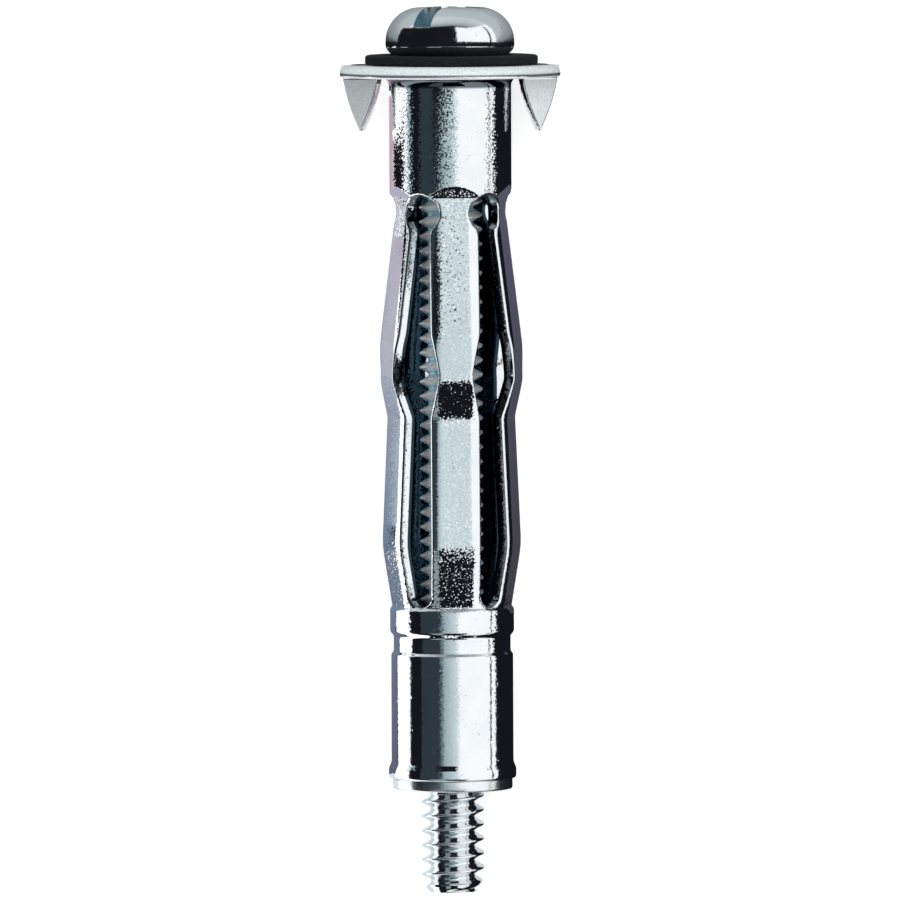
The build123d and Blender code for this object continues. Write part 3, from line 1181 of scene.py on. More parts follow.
    def loop_faces(self, rows: int, columns: int, start: int, mirrored: bool) -> list[Face]:
        """Quads of one half sector, whose last row joins up with its first.

        Args:
            rows: How many rows.
            columns: How many points in a row.
            start: Number of the first point.
            mirrored: Whether this half sector is a mirror image.

        Returns:
            The quads.
        """
        faces: list[Face] = []
        for row in range(rows):
            here, below = start + row * columns, start + (row + 1) % rows * columns
            for column in range(columns - 1):
                quad = (here + column, here + column + 1, below + column + 1, below + column)
                faces.append(quad[::-1] if mirrored else quad)
        return faces

    def worked_rows(self) -> tuple[list[float], list[float]]:
        """How much the plate is roughened by forming, as depths below the flange and values.

        Returns:
            The depths and the values.
        """
        at = [-height for height in self.at]
        rows = [
            (0.0, 0.4), (at[Level.COLLAR_END] * 0.5, 0.9), (at[Level.COLLAR_END], 1.1),
            (at[Level.NECK_END], 0.5), (at[Level.SHOULDER], 0.15),
            (at[Level.CREST] - 0.4, 0.2), (at[Level.CREST] + 0.2, 1.7),
            (at[Level.WAIST] - 0.2, 1.7), (at[Level.WAIST] + 0.4, 0.3),
            (at[Level.BELLY] - 0.3, 0.3), (at[Level.BELLY] + 0.3, 1.9),
            (at[Level.LEG_END], 1.8), (at[Level.RING_START], 0.35),
            (at[Level.GROOVE_END], 0.2), (at[Level.LIP_START], 0.05),
        ]
        ordered = sorted(rows)
        return [row[0] for row in ordered], [row[1] for row in ordered]

    def rings(self, path: np.ndarray, angles: np.ndarray, turn: float, side: float) -> np.ndarray:
        """Rows of a plain turned stretch over the given column angles."""
        spread = np.repeat(angles[None, :], len(path), axis=0)
        return self.sector(spread, np.repeat(path[:, :1], len(angles), axis=1), path[:, 1], turn, side)

    def wall(
        self, outside: np.ndarray, inside: np.ndarray, open_rows: np.ndarray, start: int, mirrored: bool,
    ) -> tuple[np.ndarray, list[Face]]:
        """The cut edge of the sheet along one side of a slot.

        Args:
            outside: Edge points of the outer skin, one for each row.
            inside: Edge points of the inner skin, one for each row.
            open_rows: Which rows the slot is open at.
            start: Index of the wall's first point.
            mirrored: Whether this half sector is a mirror image.

        Returns:
            The wall's points and faces.
        """
        opened = np.flatnonzero(open_rows)
        first, last = opened[0] - 1, opened[-1] + 1
        span = slice(first, last + 1)
        levels = [0.0, *self.wall_shares, 1.0]
        strip = np.stack([outside[span] * (1 - level) + inside[span] * level for level in levels], axis=1)
        wide = len(levels)
        faces: list[Face] = []
        for row in range(last - first):
            for level in range(wide - 1):
                here, below = start + row * wide + level, start + (row + 1) * wide + level
                quad = (here, here + 1, below + 1, below)
                faces.append(quad[::-1] if mirrored else quad)
        return strip.reshape(-1, 3), faces

    def prong_half_width(self, down: float) -> float:
        """Half of a prong's width at a distance below the end of its bend.

        Args:
            down: The distance.

        Returns:
            Half of the width.
        """
        length = self.prong_length - self.prong_bend
        half = self.prong_width / 2
        share = min(1.0, max(0.0, down / length))
        chord = math.hypot(half, length)
        bulge = 4 * self.prong_bulge * share * (1 - share) * chord / length
        return half * (1 - share) + bulge

    def prong(self, name: str) -> bpy.types.Object:
        """One prong: a strip that leaves the flange, bends down and tapers to its tip.

        Args:
            name: Name of the object.

        Returns:
            The prong, in its own frame.
        """
        middle = self.prong_bend + self.sheet / 2
        roots = (self.prong_root, self.prong_root / 2)
        stations = [(-self.prong_bend - root, self.sheet / 2, 0.0, 0.0) for root in roots]
        for step in range(0, 91, 10):
            angle = math.radians(90 - step)
            stations.append((
                -self.prong_bend + middle * math.cos(angle),
                -self.prong_bend + middle * math.sin(angle),
                math.pi / 2 - angle,
                0.0,
            ))
        length = self.prong_length - self.prong_bend
        for share in self.prong_shares:
            stations.append((self.sheet / 2, -self.prong_bend - share * length, math.pi / 2, share * length))
        rings = []
        for y, z, lean, down in stations:
            half = max(self.prong_tip, self.prong_half_width(down))
            across = self.rounded_section(half, self.sheet / 2)
            ring = [(u, y + v * math.sin(lean), z + v * math.cos(lean)) for u, v in across]
            rings.append(np.array(ring))
        return lofted_object(name, rings)

    def mark_prongs(self, body: bpy.types.Object) -> None:
        """Marks the dull flat faces of both prongs, with a little painted shade on them, and the rim beside
        their openings.

        Args:
            body: The sleeve, still in upright millimetres.
        """
        back = self.prong_place().inverted()
        layer = body.data.attributes["satin"]
        shade = body.data.attributes["hollow"]
        for number, vertex in enumerate(body.data.vertices):
            for side in (1.0, -1.0):
                point = back @ Vector((side * vertex.co.x, vertex.co.y, vertex.co.z))
                on_face = min(abs(point.y), abs(point.y - self.sheet)) < self.prong_face_margin
                reach = math.hypot(vertex.co.x, vertex.co.y)
                if reach > self.rim_start and vertex.co.z > self.burnish_top:
                    layer.data[number].value = 1.0
                if on_face and point.z < -self.prong_bend and abs(point.x) < self.prong_width / 2:
                    layer.data[number].value = self.prong_dullness
                    # Painted shade: darkens the prong's face a little toward the dark tint.
                    shade.data[number].value = self.prong_painted_shade

    def rounded_section(self, half_width: float, half_height: float) -> list[Point2]:
        """A rectangle with rounded corners, with the same number of points at every size.

        Args:
            half_width: Half of its width.
            half_height: Half of its height.

        Returns:
            The points round its outline.
        """
        rounding = min(self.prong_edge_round, half_width * self.prong_tip_share)
        points = []
        for x_way, y_way, begin in ((1, 1, 0), (-1, 1, 90), (-1, -1, 180), (1, -1, 270)):
            centre = (x_way * (half_width - rounding), y_way * (half_height - rounding))
            for step in (0, 30, 60, 90):
                angle = math.radians(begin + step)
                x = centre[0] + rounding * math.cos(angle)
                y = centre[1] + rounding * math.sin(angle)
                points.append((x, y))
        return points

    def opening_cutter(self, name: str) -> bpy.types.Object:
        """What leaves the opening of one prong in the flange, up to the rim.

        Args:
            name: Name of the object.

        Returns:
            The cutter, in the prong's own frame.
        """
        half = self.prong_width / 2
        flat_start = math.pi / 2 * (self.prong_bend + self.sheet / 2) - self.prong_bend
        length = self.prong_length - self.prong_bend
        downs = [length * step / self.prong_steps for step in range(self.prong_steps + 1)]
        right = [(self.prong_half_width(down), flat_start + down) for down in downs]
        left = [(-x, y) for x, y in reversed(right[:-1])]
        deep = self.sheet + self.prong_relief
        outline = [
            (half + self.prong_side_gap, -self.prong_bend),
            *right,
            *[point for point in left if point[1] > deep],
            (-half - self.flange_radius, deep),
            (-half - self.flange_radius, -self.prong_bend),
        ]
        low = np.array([(x, y, -self.opening_below) for x, y in outline])
        high = np.array([(x, y, self.sheet + self.opening_above) for x, y in outline])
        return lofted_object(name, [low, high])

    def prong_place(self) -> Matrix:
        """Where the left prong's own frame stands in the upright anchor."""
        turned = Matrix.Rotation(-math.radians(self.prong_turn), 4, "Z")
        return Matrix.Translation((-self.prong_offset, 0, 0)) @ turned

    def set_at_prong(self, obj: bpy.types.Object, mirrored: bool) -> bpy.types.Object:
        """Turns a prong-side solid into its place at one side of the flange.

        Args:
            obj: The solid, in the prong's own frame.
            mirrored: Whether it goes to the right side.

        Returns:
            The same solid.
        """
        obj.data.transform(self.prong_place())
        for vertex in obj.data.vertices:
            reach = math.hypot(vertex.co.x, vertex.co.y)
            if reach > self.prong_reach and obj.name.startswith("prong"):
                vertex.co.x *= self.prong_reach / reach
                vertex.co.y *= self.prong_reach / reach
        if mirrored:
            obj.data.transform(Matrix.Scale(-1, 4, (1, 0, 0)))
            obj.data.flip_normals()
        return obj

    def build(self, place: AnchorFrame, finish: bpy.types.Material) -> bpy.types.Object:
        """Builds, dresses and settles the sleeve.

        Args:
            place: Where the upright anchor lies.
            finish: The finish that it gets.

        Returns:
            The sleeve.
        """
        body = self.body()
        for mirrored in (False, True):
            work_into(body, self.set_at_prong(self.opening_cutter("opening"), mirrored), Joining.CUT)
            work_into(body, self.set_at_prong(self.prong("prong"), mirrored), Joining.WELD)
        self.mark_prongs(body)
        settle(body, place, finish)
        return body


# ---------------------------------------------------------------------------- nut and washer
@dataclass
class ThreadedNut:
    """The nut in the sleeve's end: a trapped barrel and a thin rim below the lip."""

    sleeve: ExpansionSleeve
    fit: float = 0.03
    top_gap: float = 0.06
    rim_radius: float = 3.28
    rim_thickness: float = 0.60
    rim_rounding: float = 0.12
    bore_radius: float = 1.775
    bore_rounding: float = 0.20
    barrel_rounding: float = 0.10
    seat_rounding: float = 0.06
    segments: int = 128

    def build(self, place: AnchorFrame, finish: bpy.types.Material) -> bpy.types.Object:
        """Builds, dresses and settles the nut.

        Args:
            place: Where the upright anchor lies.
            finish: The finish that it gets.

        Returns:
            The nut.
        """
        top = self.sleeve.at[Level.BARREL_START] - self.top_gap
        seat = self.sleeve.end
        bottom = seat - self.rim_thickness
        barrel = self.sleeve.bore_radius - self.fit
        outline = rounded_path([
            Corner(self.bore_radius, (top + bottom) / 2),
            Corner(self.bore_radius, top, self.bore_rounding),
            Corner(barrel, top, self.barrel_rounding),
            Corner(barrel, seat),
            Corner(self.rim_radius, seat, self.seat_rounding),
            Corner(self.rim_radius, bottom, self.rim_rounding),
            Corner(self.bore_radius, bottom, self.bore_rounding),
            Corner(self.bore_radius, (top + bottom) / 2),
        ])[:-1]
        nut = turned_object("nut_barrel_and_rim", outline, self.segments)
        settle(nut, place, finish)
        return nut


@dataclass
class FibreWasher:
    """The fibre washer between the flange and the head."""

    radius: float = 4.725
    hole_radius: float = 1.885
    bottom: float = 0.66
    thickness: float = 0.55
    rounding: float = 0.16
    shift: float = 0.08
    segments: int = 160

    def build(self, place: AnchorFrame, finish: bpy.types.Material) -> bpy.types.Object:
        """Builds, dresses and settles the washer.

        Args:
            place: Where the upright anchor lies.
            finish: The finish that it gets.

        Returns:
            The washer.
        """
        top = self.bottom + self.thickness
        outline = rounded_path([
            Corner(self.hole_radius, self.bottom),
            Corner(self.radius, self.bottom, self.rounding),
            Corner(self.radius, top, self.rounding),
            Corner(self.hole_radius, top),
        ])
        washer = turned_object("washer_fibre_ring", outline, self.segments)
        washer.data.transform(Matrix.Translation((self.shift, 0, 0)))
        settle(washer, place, finish)
        return washer


# ---------------------------------------------------------------------------- screw
@dataclass
class MachineScrew:
    """The pan-head screw with its slot and cross recess and its rolled thread."""

    # The shank and the thread.
    seat: float = 1.21
    crest_radius: float = 1.725
    root_radius: float = 1.245
    pitch: float = 0.79375
    start_share: float = 0.39
    length: float = 45.8
    point_length: float = 0.75
    point_drop: float = 0.38
    plain_length: float = 1.3
    plain_share: float = 0.62
    run_out: float = 1.2
    spare_turns: int = 3
    head_sink: float = 0.3

    # The head.
    head_radius: float = 3.52
    head_seat_radius: float = 3.18
    widest_height: float = 0.70
    tuck_height: float = 0.36
    head_height: float = 2.60
    crown: float = 0.06
    crown_margin: float = 0.02
    side_rounding: float = 0.60
    seat_rounding: float = 0.16
    head_step: float = 5.0

    # The slot and the cross recess, with how far their cutters stand out of the head.
    slot_width: float = 1.05
    slot_depth: float = 1.10
    slot_turn: float = 28.0
    cross_span: float = 4.30
    wing_width: float = 1.00
    cross_depth: float = 2.05
    cross_taper: float = 24.0
    core_radius: float = 0.95
    core_taper: float = 12.0
    cutter_rise: float = 1.0

    # The marks for the finish.
    rubbed_low: float = -36.0
    rubbed_high: float = -1.0
    rubbed_dullness: float = 0.55
    # Painted shade in the thread's roots inside the sleeve, as a share of the tint.
    thread_root_painted_shade: float = 0.75
    recess_dullness: float = 0.50
    recess_skin: float = 0.04
    recess_margin: float = 0.1
    rim_margin: float = 0.05
    root_margin: float = 0.10

    # The mesh, and one turn of the thread as (share of the pitch, share of the thread's depth).
    segments: int = 72
    head_segments: int = 160
    core_segments: int = 48
    tooth: tuple[Point2, ...] = (
        (0.000, 0.045), (0.022, 0.012), (0.050, 0.0), (0.095, 0.0), (0.123, 0.012), (0.145, 0.045),
        (0.300, 0.480), (0.455, 0.920), (0.490, 0.985), (0.530, 1.0), (0.615, 1.0), (0.655, 0.985),
        (0.690, 0.920), (0.845, 0.480),
    )

    def head_outline(self) -> np.ndarray:
        """Half of the head's section, from the middle of the crown to the middle of the seat.

        Returns:
            Rows of (distance from the axis, height).
        """
        top = self.seat + self.head_height
        corner = self.head_height - self.widest_height
        return rounded_path([
            Corner(0.0, top + self.crown),
            Corner(self.head_radius - corner, top),
            Corner(self.head_radius, top, corner - self.crown_margin),
            Corner(self.head_radius, self.seat + self.tuck_height, self.side_rounding),
            Corner(self.head_seat_radius, self.seat, self.seat_rounding),
            Corner(0.0, self.seat),
        ], step=self.head_step)

    def head(self) -> bpy.types.Object:
        """The turned head, closed below at the shank."""
        return turned_object("screw_head", self.head_outline(), self.head_segments)

    def prism(self, name: str, outline: Sequence[Point2], half: float, turn: float) -> bpy.types.Object:
        """A solid with an upright outline in the YZ plane, half wide each way, turned about Z.

        Args:
            name: Name of the object.
            outline: Points of y and z.
            half: Half of its width.
            turn: Degrees ahead of the slot.

        Returns:
            The solid.
        """
        left = np.array([(-half, y, z) for y, z in outline])
        right = np.array([(half, y, z) for y, z in outline])
        prism = lofted_object(name, [left, right])
        prism.data.transform(Matrix.Rotation(math.radians(turn - self.slot_turn), 4, "Z"))
        return prism

    def recess_tools(self) -> list[bpy.types.Object]:
        """The cutters of the slot, the two pairs of wings and the recess's middle.

        Returns:
            The cutters, in the order that they cut.
        """
        top = self.seat + self.head_height + self.crown
        run = self.head_radius + self.cutter_rise
        over = top + self.cutter_rise
        slot_floor, floor = top - self.slot_depth, top - self.cross_depth
        channel = [(-run, over), (run, over), (run, slot_floor), (-run, slot_floor)]
        slot = self.prism("slot", channel, self.slot_width / 2, 0)
        wing_slope = math.tan(math.radians(self.cross_taper))
        wide = self.cross_span / 2 + self.cutter_rise * wing_slope
        deep = self.cross_span / 2 - self.cross_depth * wing_slope
        wing = [(-wide, over), (wide, over), (deep, floor), (-deep, floor)]
        wings = [self.prism("wing", wing, self.wing_width / 2, turn) for turn in (0, 90)]
        core_slope = math.tan(math.radians(self.core_taper))
        core_low = self.core_radius - self.cross_depth * core_slope
        core_high = self.core_radius + self.cutter_rise * core_slope
        middle = np.array([(0.0, over), (core_high, over), (core_low, floor), (0.0, floor)])
        return [slot, *wings, turned_object("core", middle, self.core_segments)]

    def thread(self) -> bpy.types.Object:
        """The shank with its thread, as one closed mesh.

        Returns:
            The threaded shank.
        """
        tooth = np.array(self.tooth)
        end = self.seat - self.length
        plain_end = self.seat - self.plain_length
        turns = math.ceil((self.seat - end) / self.pitch) + self.spare_turns
        angles = np.arange(self.segments) * TURN / self.segments
        base = end - (1 + self.start_share) * self.pitch
        shares = np.concatenate([tooth[:, 0] + number for number in range(turns)])
        depth = np.tile(tooth[:, 1], turns)
        heights = base + (shares[:, None] + angles[None, :] / TURN) * self.pitch
        profile = self.crest_radius - depth * (self.crest_radius - self.root_radius)
        radii = np.repeat(profile[:, None], self.segments, axis=1)
        run_out = self.run_out * self.pitch
        fade = np.clip((heights - plain_end) / run_out, 0, 1)
        shank = self.root_radius + self.plain_share * (self.crest_radius - self.root_radius)
        radii = radii * (1 - fade) + np.minimum(radii, shank) * fade
        radii = np.where(heights > plain_end + run_out, shank, radii)
        heights = np.clip(heights, end, self.seat + self.head_sink)
        cone = self.crest_radius - self.point_drop * np.clip(1 - (heights - end) / self.point_length, 0, 1)
        radii = np.minimum(radii, cone)
        at_end = heights <= end + 1e-9
        radii = np.where(at_end, self.crest_radius - self.point_drop, radii)
        return self.threaded_mesh(angles, heights, radii, len(tooth))

    def threaded_mesh(
        self, angles: np.ndarray, heights: np.ndarray, radii: np.ndarray, shift: int,
    ) -> bpy.types.Object:
        """Joins the sheared rows of the thread, whose seam steps on by one tooth.

        Args:
            angles: Angle of each column.
            heights: Height of each point.
            radii: Radius of each point.
            shift: How many rows make one turn.

        Returns:
            The closed shank.
        """
        rows = len(heights)
        count = len(angles)
        x = radii * np.cos(angles)[None, :]
        y = radii * np.sin(angles)[None, :]
        points = np.stack([x, y, heights], axis=-1).reshape(-1, 3)
        faces: list[Face] = []
        for row in range(rows - 1):
            for column in range(count):
                step = shift if column == count - 1 else 0
                beside = (column + 1) % count
                if row + 1 + step >= rows:
                    continue
                faces.append((
                    row * count + column,
                    (row + step) * count + beside,
                    (row + 1 + step) * count + beside,
                    (row + 1) * count + column,
                ))
        shank = new_object("screw_thread", points, faces)
        work = bmesh.new()
        work.from_mesh(shank.data)
        bmesh.ops.dissolve_degenerate(work, dist=SLIVER, edges=work.edges)
        loose = [vertex for vertex in work.verts if not vertex.link_faces]
        bmesh.ops.delete(work, geom=loose, context="VERTS")
        open_edges = [edge for edge in work.edges if edge.is_boundary]
        bmesh.ops.holes_fill(work, edges=open_edges, sides=0)
        bmesh.ops.recalc_face_normals(work, faces=work.faces)
        work.to_mesh(shank.data)
        work.free()
        return shank

    def recess_test(self) -> Callable[[Vector], float]:
        """Makes the test that gives one for a point in the slot or the cross recess, else zero.

        Returns:
            The test.
        """
        crown = self.head_outline()
        upper = crown[crown[:, 1] > self.seat + self.widest_height]
        lowest = self.seat + self.tuck_height + self.recess_skin
        widest = self.head_radius - self.rim_margin
        deepest = self.cross_depth + self.recess_margin

        def in_recess(point: Vector) -> float:
            """Gives one in the recess, else zero.

            Args:
                point: A point of the screw, upright and in millimetres.

            Returns:
                One or zero.
            """
            reach = math.hypot(point.x, point.y)
            if point.z < lowest or reach > widest:
                return 0.0
            below = float(np.interp(reach, upper[:, 0], upper[:, 1])) - point.z
            return float(self.recess_skin < below < deepest)

        return in_recess

    def dress(self, screw: bpy.types.Object) -> None:
        """Marks painted shade in the recess and in the thread's roots inside the sleeve, and marks the recess
        and the rubbed run of thread that lies inside the sleeve as satin.

        Args:
            screw: The screw, still in upright millimetres.
        """
        in_recess = self.recess_test()
        root = self.root_radius + self.root_margin

        def rubbed(point: Vector) -> bool:
            """Whether a point is on the rubbed run."""
            return self.rubbed_low < point.z < self.rubbed_high

        def painted_shade_at(point: Vector) -> float:
            """How much painted shade a point takes: all of it in the recess, a share in the thread's roots
            inside the sleeve.
            """
            in_root = rubbed(point) and math.hypot(point.x, point.y) < root
            return in_recess(point) + self.thread_root_painted_shade * float(in_root)

        def dulled(point: Vector) -> float:
            """How dull a point is."""
            return self.rubbed_dullness * float(rubbed(point)) + self.recess_dullness * in_recess(point)

        mark(screw, "hollow", painted_shade_at)
        mark(screw, "satin", dulled)

    def build(self, place: AnchorFrame, finish: bpy.types.Material) -> bpy.types.Object:
        """Builds, dresses and settles the screw.

        Args:
            place: Where the upright anchor lies.
            finish: The finish that it gets.

        Returns:
            The screw.
        """
        screw = self.head()
        for tool in self.recess_tools():
            work_into(screw, tool, Joining.CUT)
        work_into(screw, self.thread(), Joining.WELD)
        self.dress(screw)
        screw.name = "screw_head_and_thread"
        settle(screw, place, finish)
        return screw


# ---------------------------------------------------------------------------- studio
@dataclass(frozen=True)
class Panel:
    """A studio card or softbox, curved about a line over the floor and seen only in reflections.

    Angles are degrees from straight up toward +X. The colour runs from the start edge to the
    stop edge, and the near end (toward the lip) and the far end may slant between them. The ends
    and the reach from the line are in metres.
    """

    name: str
    start: float
    stop: float
    colour: Colour
    stop_colour: Colour | None = None
    near: float = -0.13
    far: float = 0.44
    stop_near: float | None = None
    stop_far: float | None = None
    reach: float = 0.42


@dataclass(frozen=True)
class FloorCard:
    """A flat card on the floor beside the anchor, seen only in reflections.

    Its corners are in metres, and its colour runs from the lip's end of it to the head's end.
    """

    name: str
    low: Point2
    high: Point2
    colour: Colour
    head_colour: Colour | None = None
    height: float = 0.0002


@dataclass(frozen=True)
class Lamp:
    """A soft square lamp that points at the anchor, in metres and watts."""

    name: str
    spot: Point3
    size: float
    power: float


BLACK: Colour = (0.008, 0.009, 0.012)
SLATE: Colour = (0.032, 0.046, 0.058)
PALE: Colour = (0.36, 0.46, 0.49)
SOFT: Colour = (0.68, 0.77, 0.80)
BRIGHT: Colour = (1.12, 1.12, 1.12)


@dataclass
class Studio:
    """Floor, light, cards and camera.

    The camera's distance, rise, lens and sensor are in millimetres and its lean is in degrees.
    Other lengths are in metres.
    """

    place: AnchorFrame

    # The camera.
    distance: float = 800.0
    camera_rise: float = 22.0
    lens: float = 586.0
    sensor: float = 36.0
    clip_span: Span = (0.01, 20.0)
    lean: float = 0.22
    aim: Point3 = (-0.00008, -0.000045, 0.006)

    # The floor, the light and the cards.
    card_height: float = 0.006
    card_steps: int = 12
    end_half: float = 0.60
    end_far: float = 0.46
    floor_half: float = 3.0
    floor_colour: float = 0.82
    floor_fill: float = 0.37
    floor_gloss: float = 0.1
    floor_roughness: float = 0.9
    world_light: float = 0.55
    lamps: tuple[Lamp, ...] = (
        Lamp("key_lamp", (0.20, 0.08, 0.65), 0.7, 3.0),
        Lamp("fill_lamp", (-0.40, -0.15, 0.55), 0.6, 2.3),
    )
    panels: tuple[Panel, ...] = (
        Panel("softbox_rim", 8, 15, SOFT, BRIGHT),
        Panel("softbox_right", 15, 76, BRIGHT),
        Panel("softbox_low", 30, 76, BRIGHT, near=-0.90, far=-0.13),
        Panel("softbox_edge", 80, 98, BRIGHT, near=-0.90),
        Panel("card_middle", -15, 8, PALE, SOFT, far=0.22),
        Panel("card_fade", -25, -15, SLATE, PALE, far=0.22),
        Panel("card_slate", -60, -25, SLATE),
        Panel("card_low", -44, -16, (0.30, 0.35, 0.37), near=-0.90, far=-0.13),
        Panel("softbox_left", -104, -87, BRIGHT, near=-0.90),
        Panel("collar_shade", -33, 5, BLACK, near=0.0112, far=0.0186, stop_near=0.0138, reach=0.06),
        Panel("collar_blue", -88, -79, (0.34, 0.46, 0.56), near=0.0100, far=0.0182, reach=0.06),
        Panel("head_shade", -97, 11, BLACK, near=0.0222, far=0.0310, stop_far=0.0412, reach=0.016),
        Panel("head_skirt", -100, 100, BLACK, near=0.0197, far=0.0222, reach=0.010),
        Panel("tent", -100, 100, BLACK, near=-2.0, far=0.40, reach=0.45),
    )
    floor_cards: tuple[FloorCard, ...] = (
        FloorCard("right_black", (0.0035, -0.60), (0.60, 0.0226), BLACK),
        FloorCard("right_thread", (0.0008, -0.030), (0.0035, -0.0172), (0.70, 0.74, 0.77)),
        FloorCard(
            "right_violet", (0.0035, -0.0088), (0.0085, 0.0140),
            (0.060, 0.055, 0.070), (0.100, 0.097, 0.145), height=0.0003,
        ),
        FloorCard("left_thread", (-0.0089, -0.030), (-0.0020, -0.0178), (0.78, 0.85, 0.88)),
        FloorCard(
            "left_barrel", (-0.0089, -0.0178), (-0.0020, -0.0050), (0.13, 0.13, 0.19), (0.20, 0.26, 0.35),
        ),
        FloorCard(
            "left_legs", (-0.0089, -0.0050), (-0.0020, 0.0135), (0.20, 0.26, 0.35), (0.54, 0.51, 0.62),
        ),
        FloorCard("left_collar_edge", (-0.0089, 0.0135), (-0.0020, 0.0195), (0.60, 0.42, 0.48)),
        FloorCard("left_line", (-0.0098, -0.0178), (-0.0089, -0.0040), (0.03, 0.03, 0.04)),
        FloorCard(
            "left_pastel", (-0.0150, -0.0040), (-0.0089, 0.0125), (0.42, 0.52, 0.58), (0.60, 0.52, 0.60),
        ),
        FloorCard("left_collar", (-0.060, 0.0115), (-0.0095, 0.0170), BLACK),
        FloorCard("left_head_low", (-0.60, 0.0198), (-0.0020, 0.0226), BLACK),
        FloorCard("rim_left", (-0.0070, 0.0203), (-0.0050, 0.0213), (0.78, 0.82, 0.84), height=0.0004),
        FloorCard("rim_right", (0.0050, 0.0203), (0.0070, 0.0213), (0.78, 0.82, 0.84), height=0.0004),
        FloorCard("head_low", (-0.60, 0.0226), (0.60, 0.0242), (0.02, 0.02, 0.025), (0.26, 0.29, 0.30)),
        FloorCard("head_near", (-0.60, 0.0242), (0.60, 0.034), (0.26, 0.29, 0.30), (0.52, 0.57, 0.59)),
        FloorCard("head_beyond", (-0.60, 0.034), (0.60, 0.46), (0.52, 0.57, 0.59), (0.66, 0.70, 0.72)),
    )
    end_rows: tuple[tuple[float, Colour], ...] = (
        (0.00, (0.66, 0.70, 0.72)),
        (0.13, (0.60, 0.64, 0.66)),
        (0.26, (0.40, 0.44, 0.46)),
        (0.37, (0.04, 0.05, 0.06)),
    )

    def hide_from_all_but_gloss(self, obj: bpy.types.Object) -> None:
        """Leaves an object to reflections only.

        Args:
            obj: The object.
        """
        obj.visible_camera = False
        obj.visible_diffuse = False
        obj.visible_transmission = False
        obj.visible_volume_scatter = False
        obj.visible_shadow = False

    def card_glow(self) -> bpy.types.Material:
        """The glowing or dark surface of all cards, which takes its colour from the mesh.

        Returns:
            The material.
        """
        material = bpy.data.materials.new("card_glow")
        material.use_nodes = True
        sheet = NodeSheet(material.node_tree)
        node = sheet.add("ShaderNodeAttribute")
        node.attribute_name = "glow"
        glow = sheet.add("ShaderNodeEmission", Color=node.outputs["Color"], Strength=1.0)
        sheet.add("ShaderNodeOutputMaterial", Surface=glow.outputs[0])
        return material

    def add_card(
        self, name: str, points: Sequence[Point3], colours: Sequence[Colour],
        faces: Sequence[Sequence[int]], finish: bpy.types.Material,
    ) -> None:
        """Makes one card from its points and the colour at each.

        Args:
            name: Name of the card.
            points: Its corners, in metres.
            colours: The colour at each corner.
            faces: Point numbers of each face.
            finish: The glowing material.
        """
        mesh = bpy.data.meshes.new(name)
        mesh.from_pydata(points, [], faces)
        layer = mesh.color_attributes.new("glow", "FLOAT_COLOR", "POINT")
        for number, colour in enumerate(colours):
            layer.data[number].color = (*colour, 1.0)
        mesh.materials.append(finish)
        card = bpy.data.objects.new(name, mesh)
        bpy.context.scene.collection.objects.link(card)
        self.hide_from_all_but_gloss(card)

    def add_panel(self, panel: Panel, finish: bpy.types.Material) -> None:
        """Hangs one curved card over the anchor.

        Args:
            panel: The card.
            finish: The glowing material.
        """
        count = self.card_steps
        stop_near = panel.near if panel.stop_near is None else panel.stop_near
        stop_far = panel.far if panel.stop_far is None else panel.stop_far
        stop_colour = panel.stop_colour or panel.colour
        points, colours = [], []
        for at_far in (False, True):
            for number in range(count + 1):
                share = number / count
                angle = math.radians(panel.start + (panel.stop - panel.start) * share)
                near = panel.near + (stop_near - panel.near) * share
                far = panel.far + (stop_far - panel.far) * share
                x = panel.reach * math.sin(angle)
                z = self.card_height + panel.reach * math.cos(angle)
                points.append((x, far if at_far else near, z))
                colours.append(tuple(a + (b - a) * share for a, b in zip(panel.colour, stop_colour)))
        faces = [(i, i + 1, count + 2 + i, count + 1 + i) for i in range(count)]
        self.add_card(panel.name, points, colours, faces, finish)

    def add_end_card(self, finish: bpy.types.Material) -> None:
        """Stands a shaded card on the floor beyond the head.

        Args:
            finish: The glowing material.
        """
        sides = (-self.end_half, self.end_half)
        points = [(x, self.end_far, height) for height, _ in self.end_rows for x in sides]
        colours = [colour for _, colour in self.end_rows for _ in range(2)]
        faces = [(2 * row, 2 * row + 1, 2 * row + 3, 2 * row + 2) for row in range(len(self.end_rows) - 1)]
        self.add_card("end_card", points, colours, faces, finish)

    def add_floor_card(self, card: FloorCard, finish: bpy.types.Material) -> None:
        """Lays one flat card on the floor.

        Args:
            card: The card.
            finish: The glowing material.
        """
        (left, near), (right, far) = card.low, card.high
        corners = ((left, near), (right, near), (right, far), (left, far))
        points = [(x, y, card.height) for x, y in corners]
        head = card.head_colour or card.colour
        self.add_card(card.name, points, [card.colour, card.colour, head, head], [(0, 1, 2, 3)], finish)

    def add_floor(self) -> None:
        """Lays the pale floor, which keeps the anchor's shadow."""
        half = self.floor_half
        corners = [(-half, -half, 0), (half, -half, 0), (half, half, 0), (-half, half, 0)]
        mesh = bpy.data.meshes.new("floor")
        mesh.from_pydata(corners, [], [(0, 1, 2, 3)])
        material = bpy.data.materials.new("pale_floor")
        material.use_nodes = True
        sheet = NodeSheet(material.node_tree)
        seen = self.seen_directly(sheet)
        fill = sheet.math("MULTIPLY", seen, self.floor_fill)
        shader = sheet.add(
            "ShaderNodeBsdfPrincipled",
            Base_Color=(*grey(self.floor_colour), 1.0),
            Roughness=self.floor_roughness,
            Emission_Color=(1.0, 1.0, 1.0, 1.0),
            Emission_Strength=fill,
            Specular_IOR_Level=self.floor_gloss,
        )
        sheet.add("ShaderNodeOutputMaterial", Surface=shader.outputs[0])
        mesh.materials.append(material)
        floor = bpy.data.objects.new("floor", mesh)
        bpy.context.scene.collection.objects.link(floor)

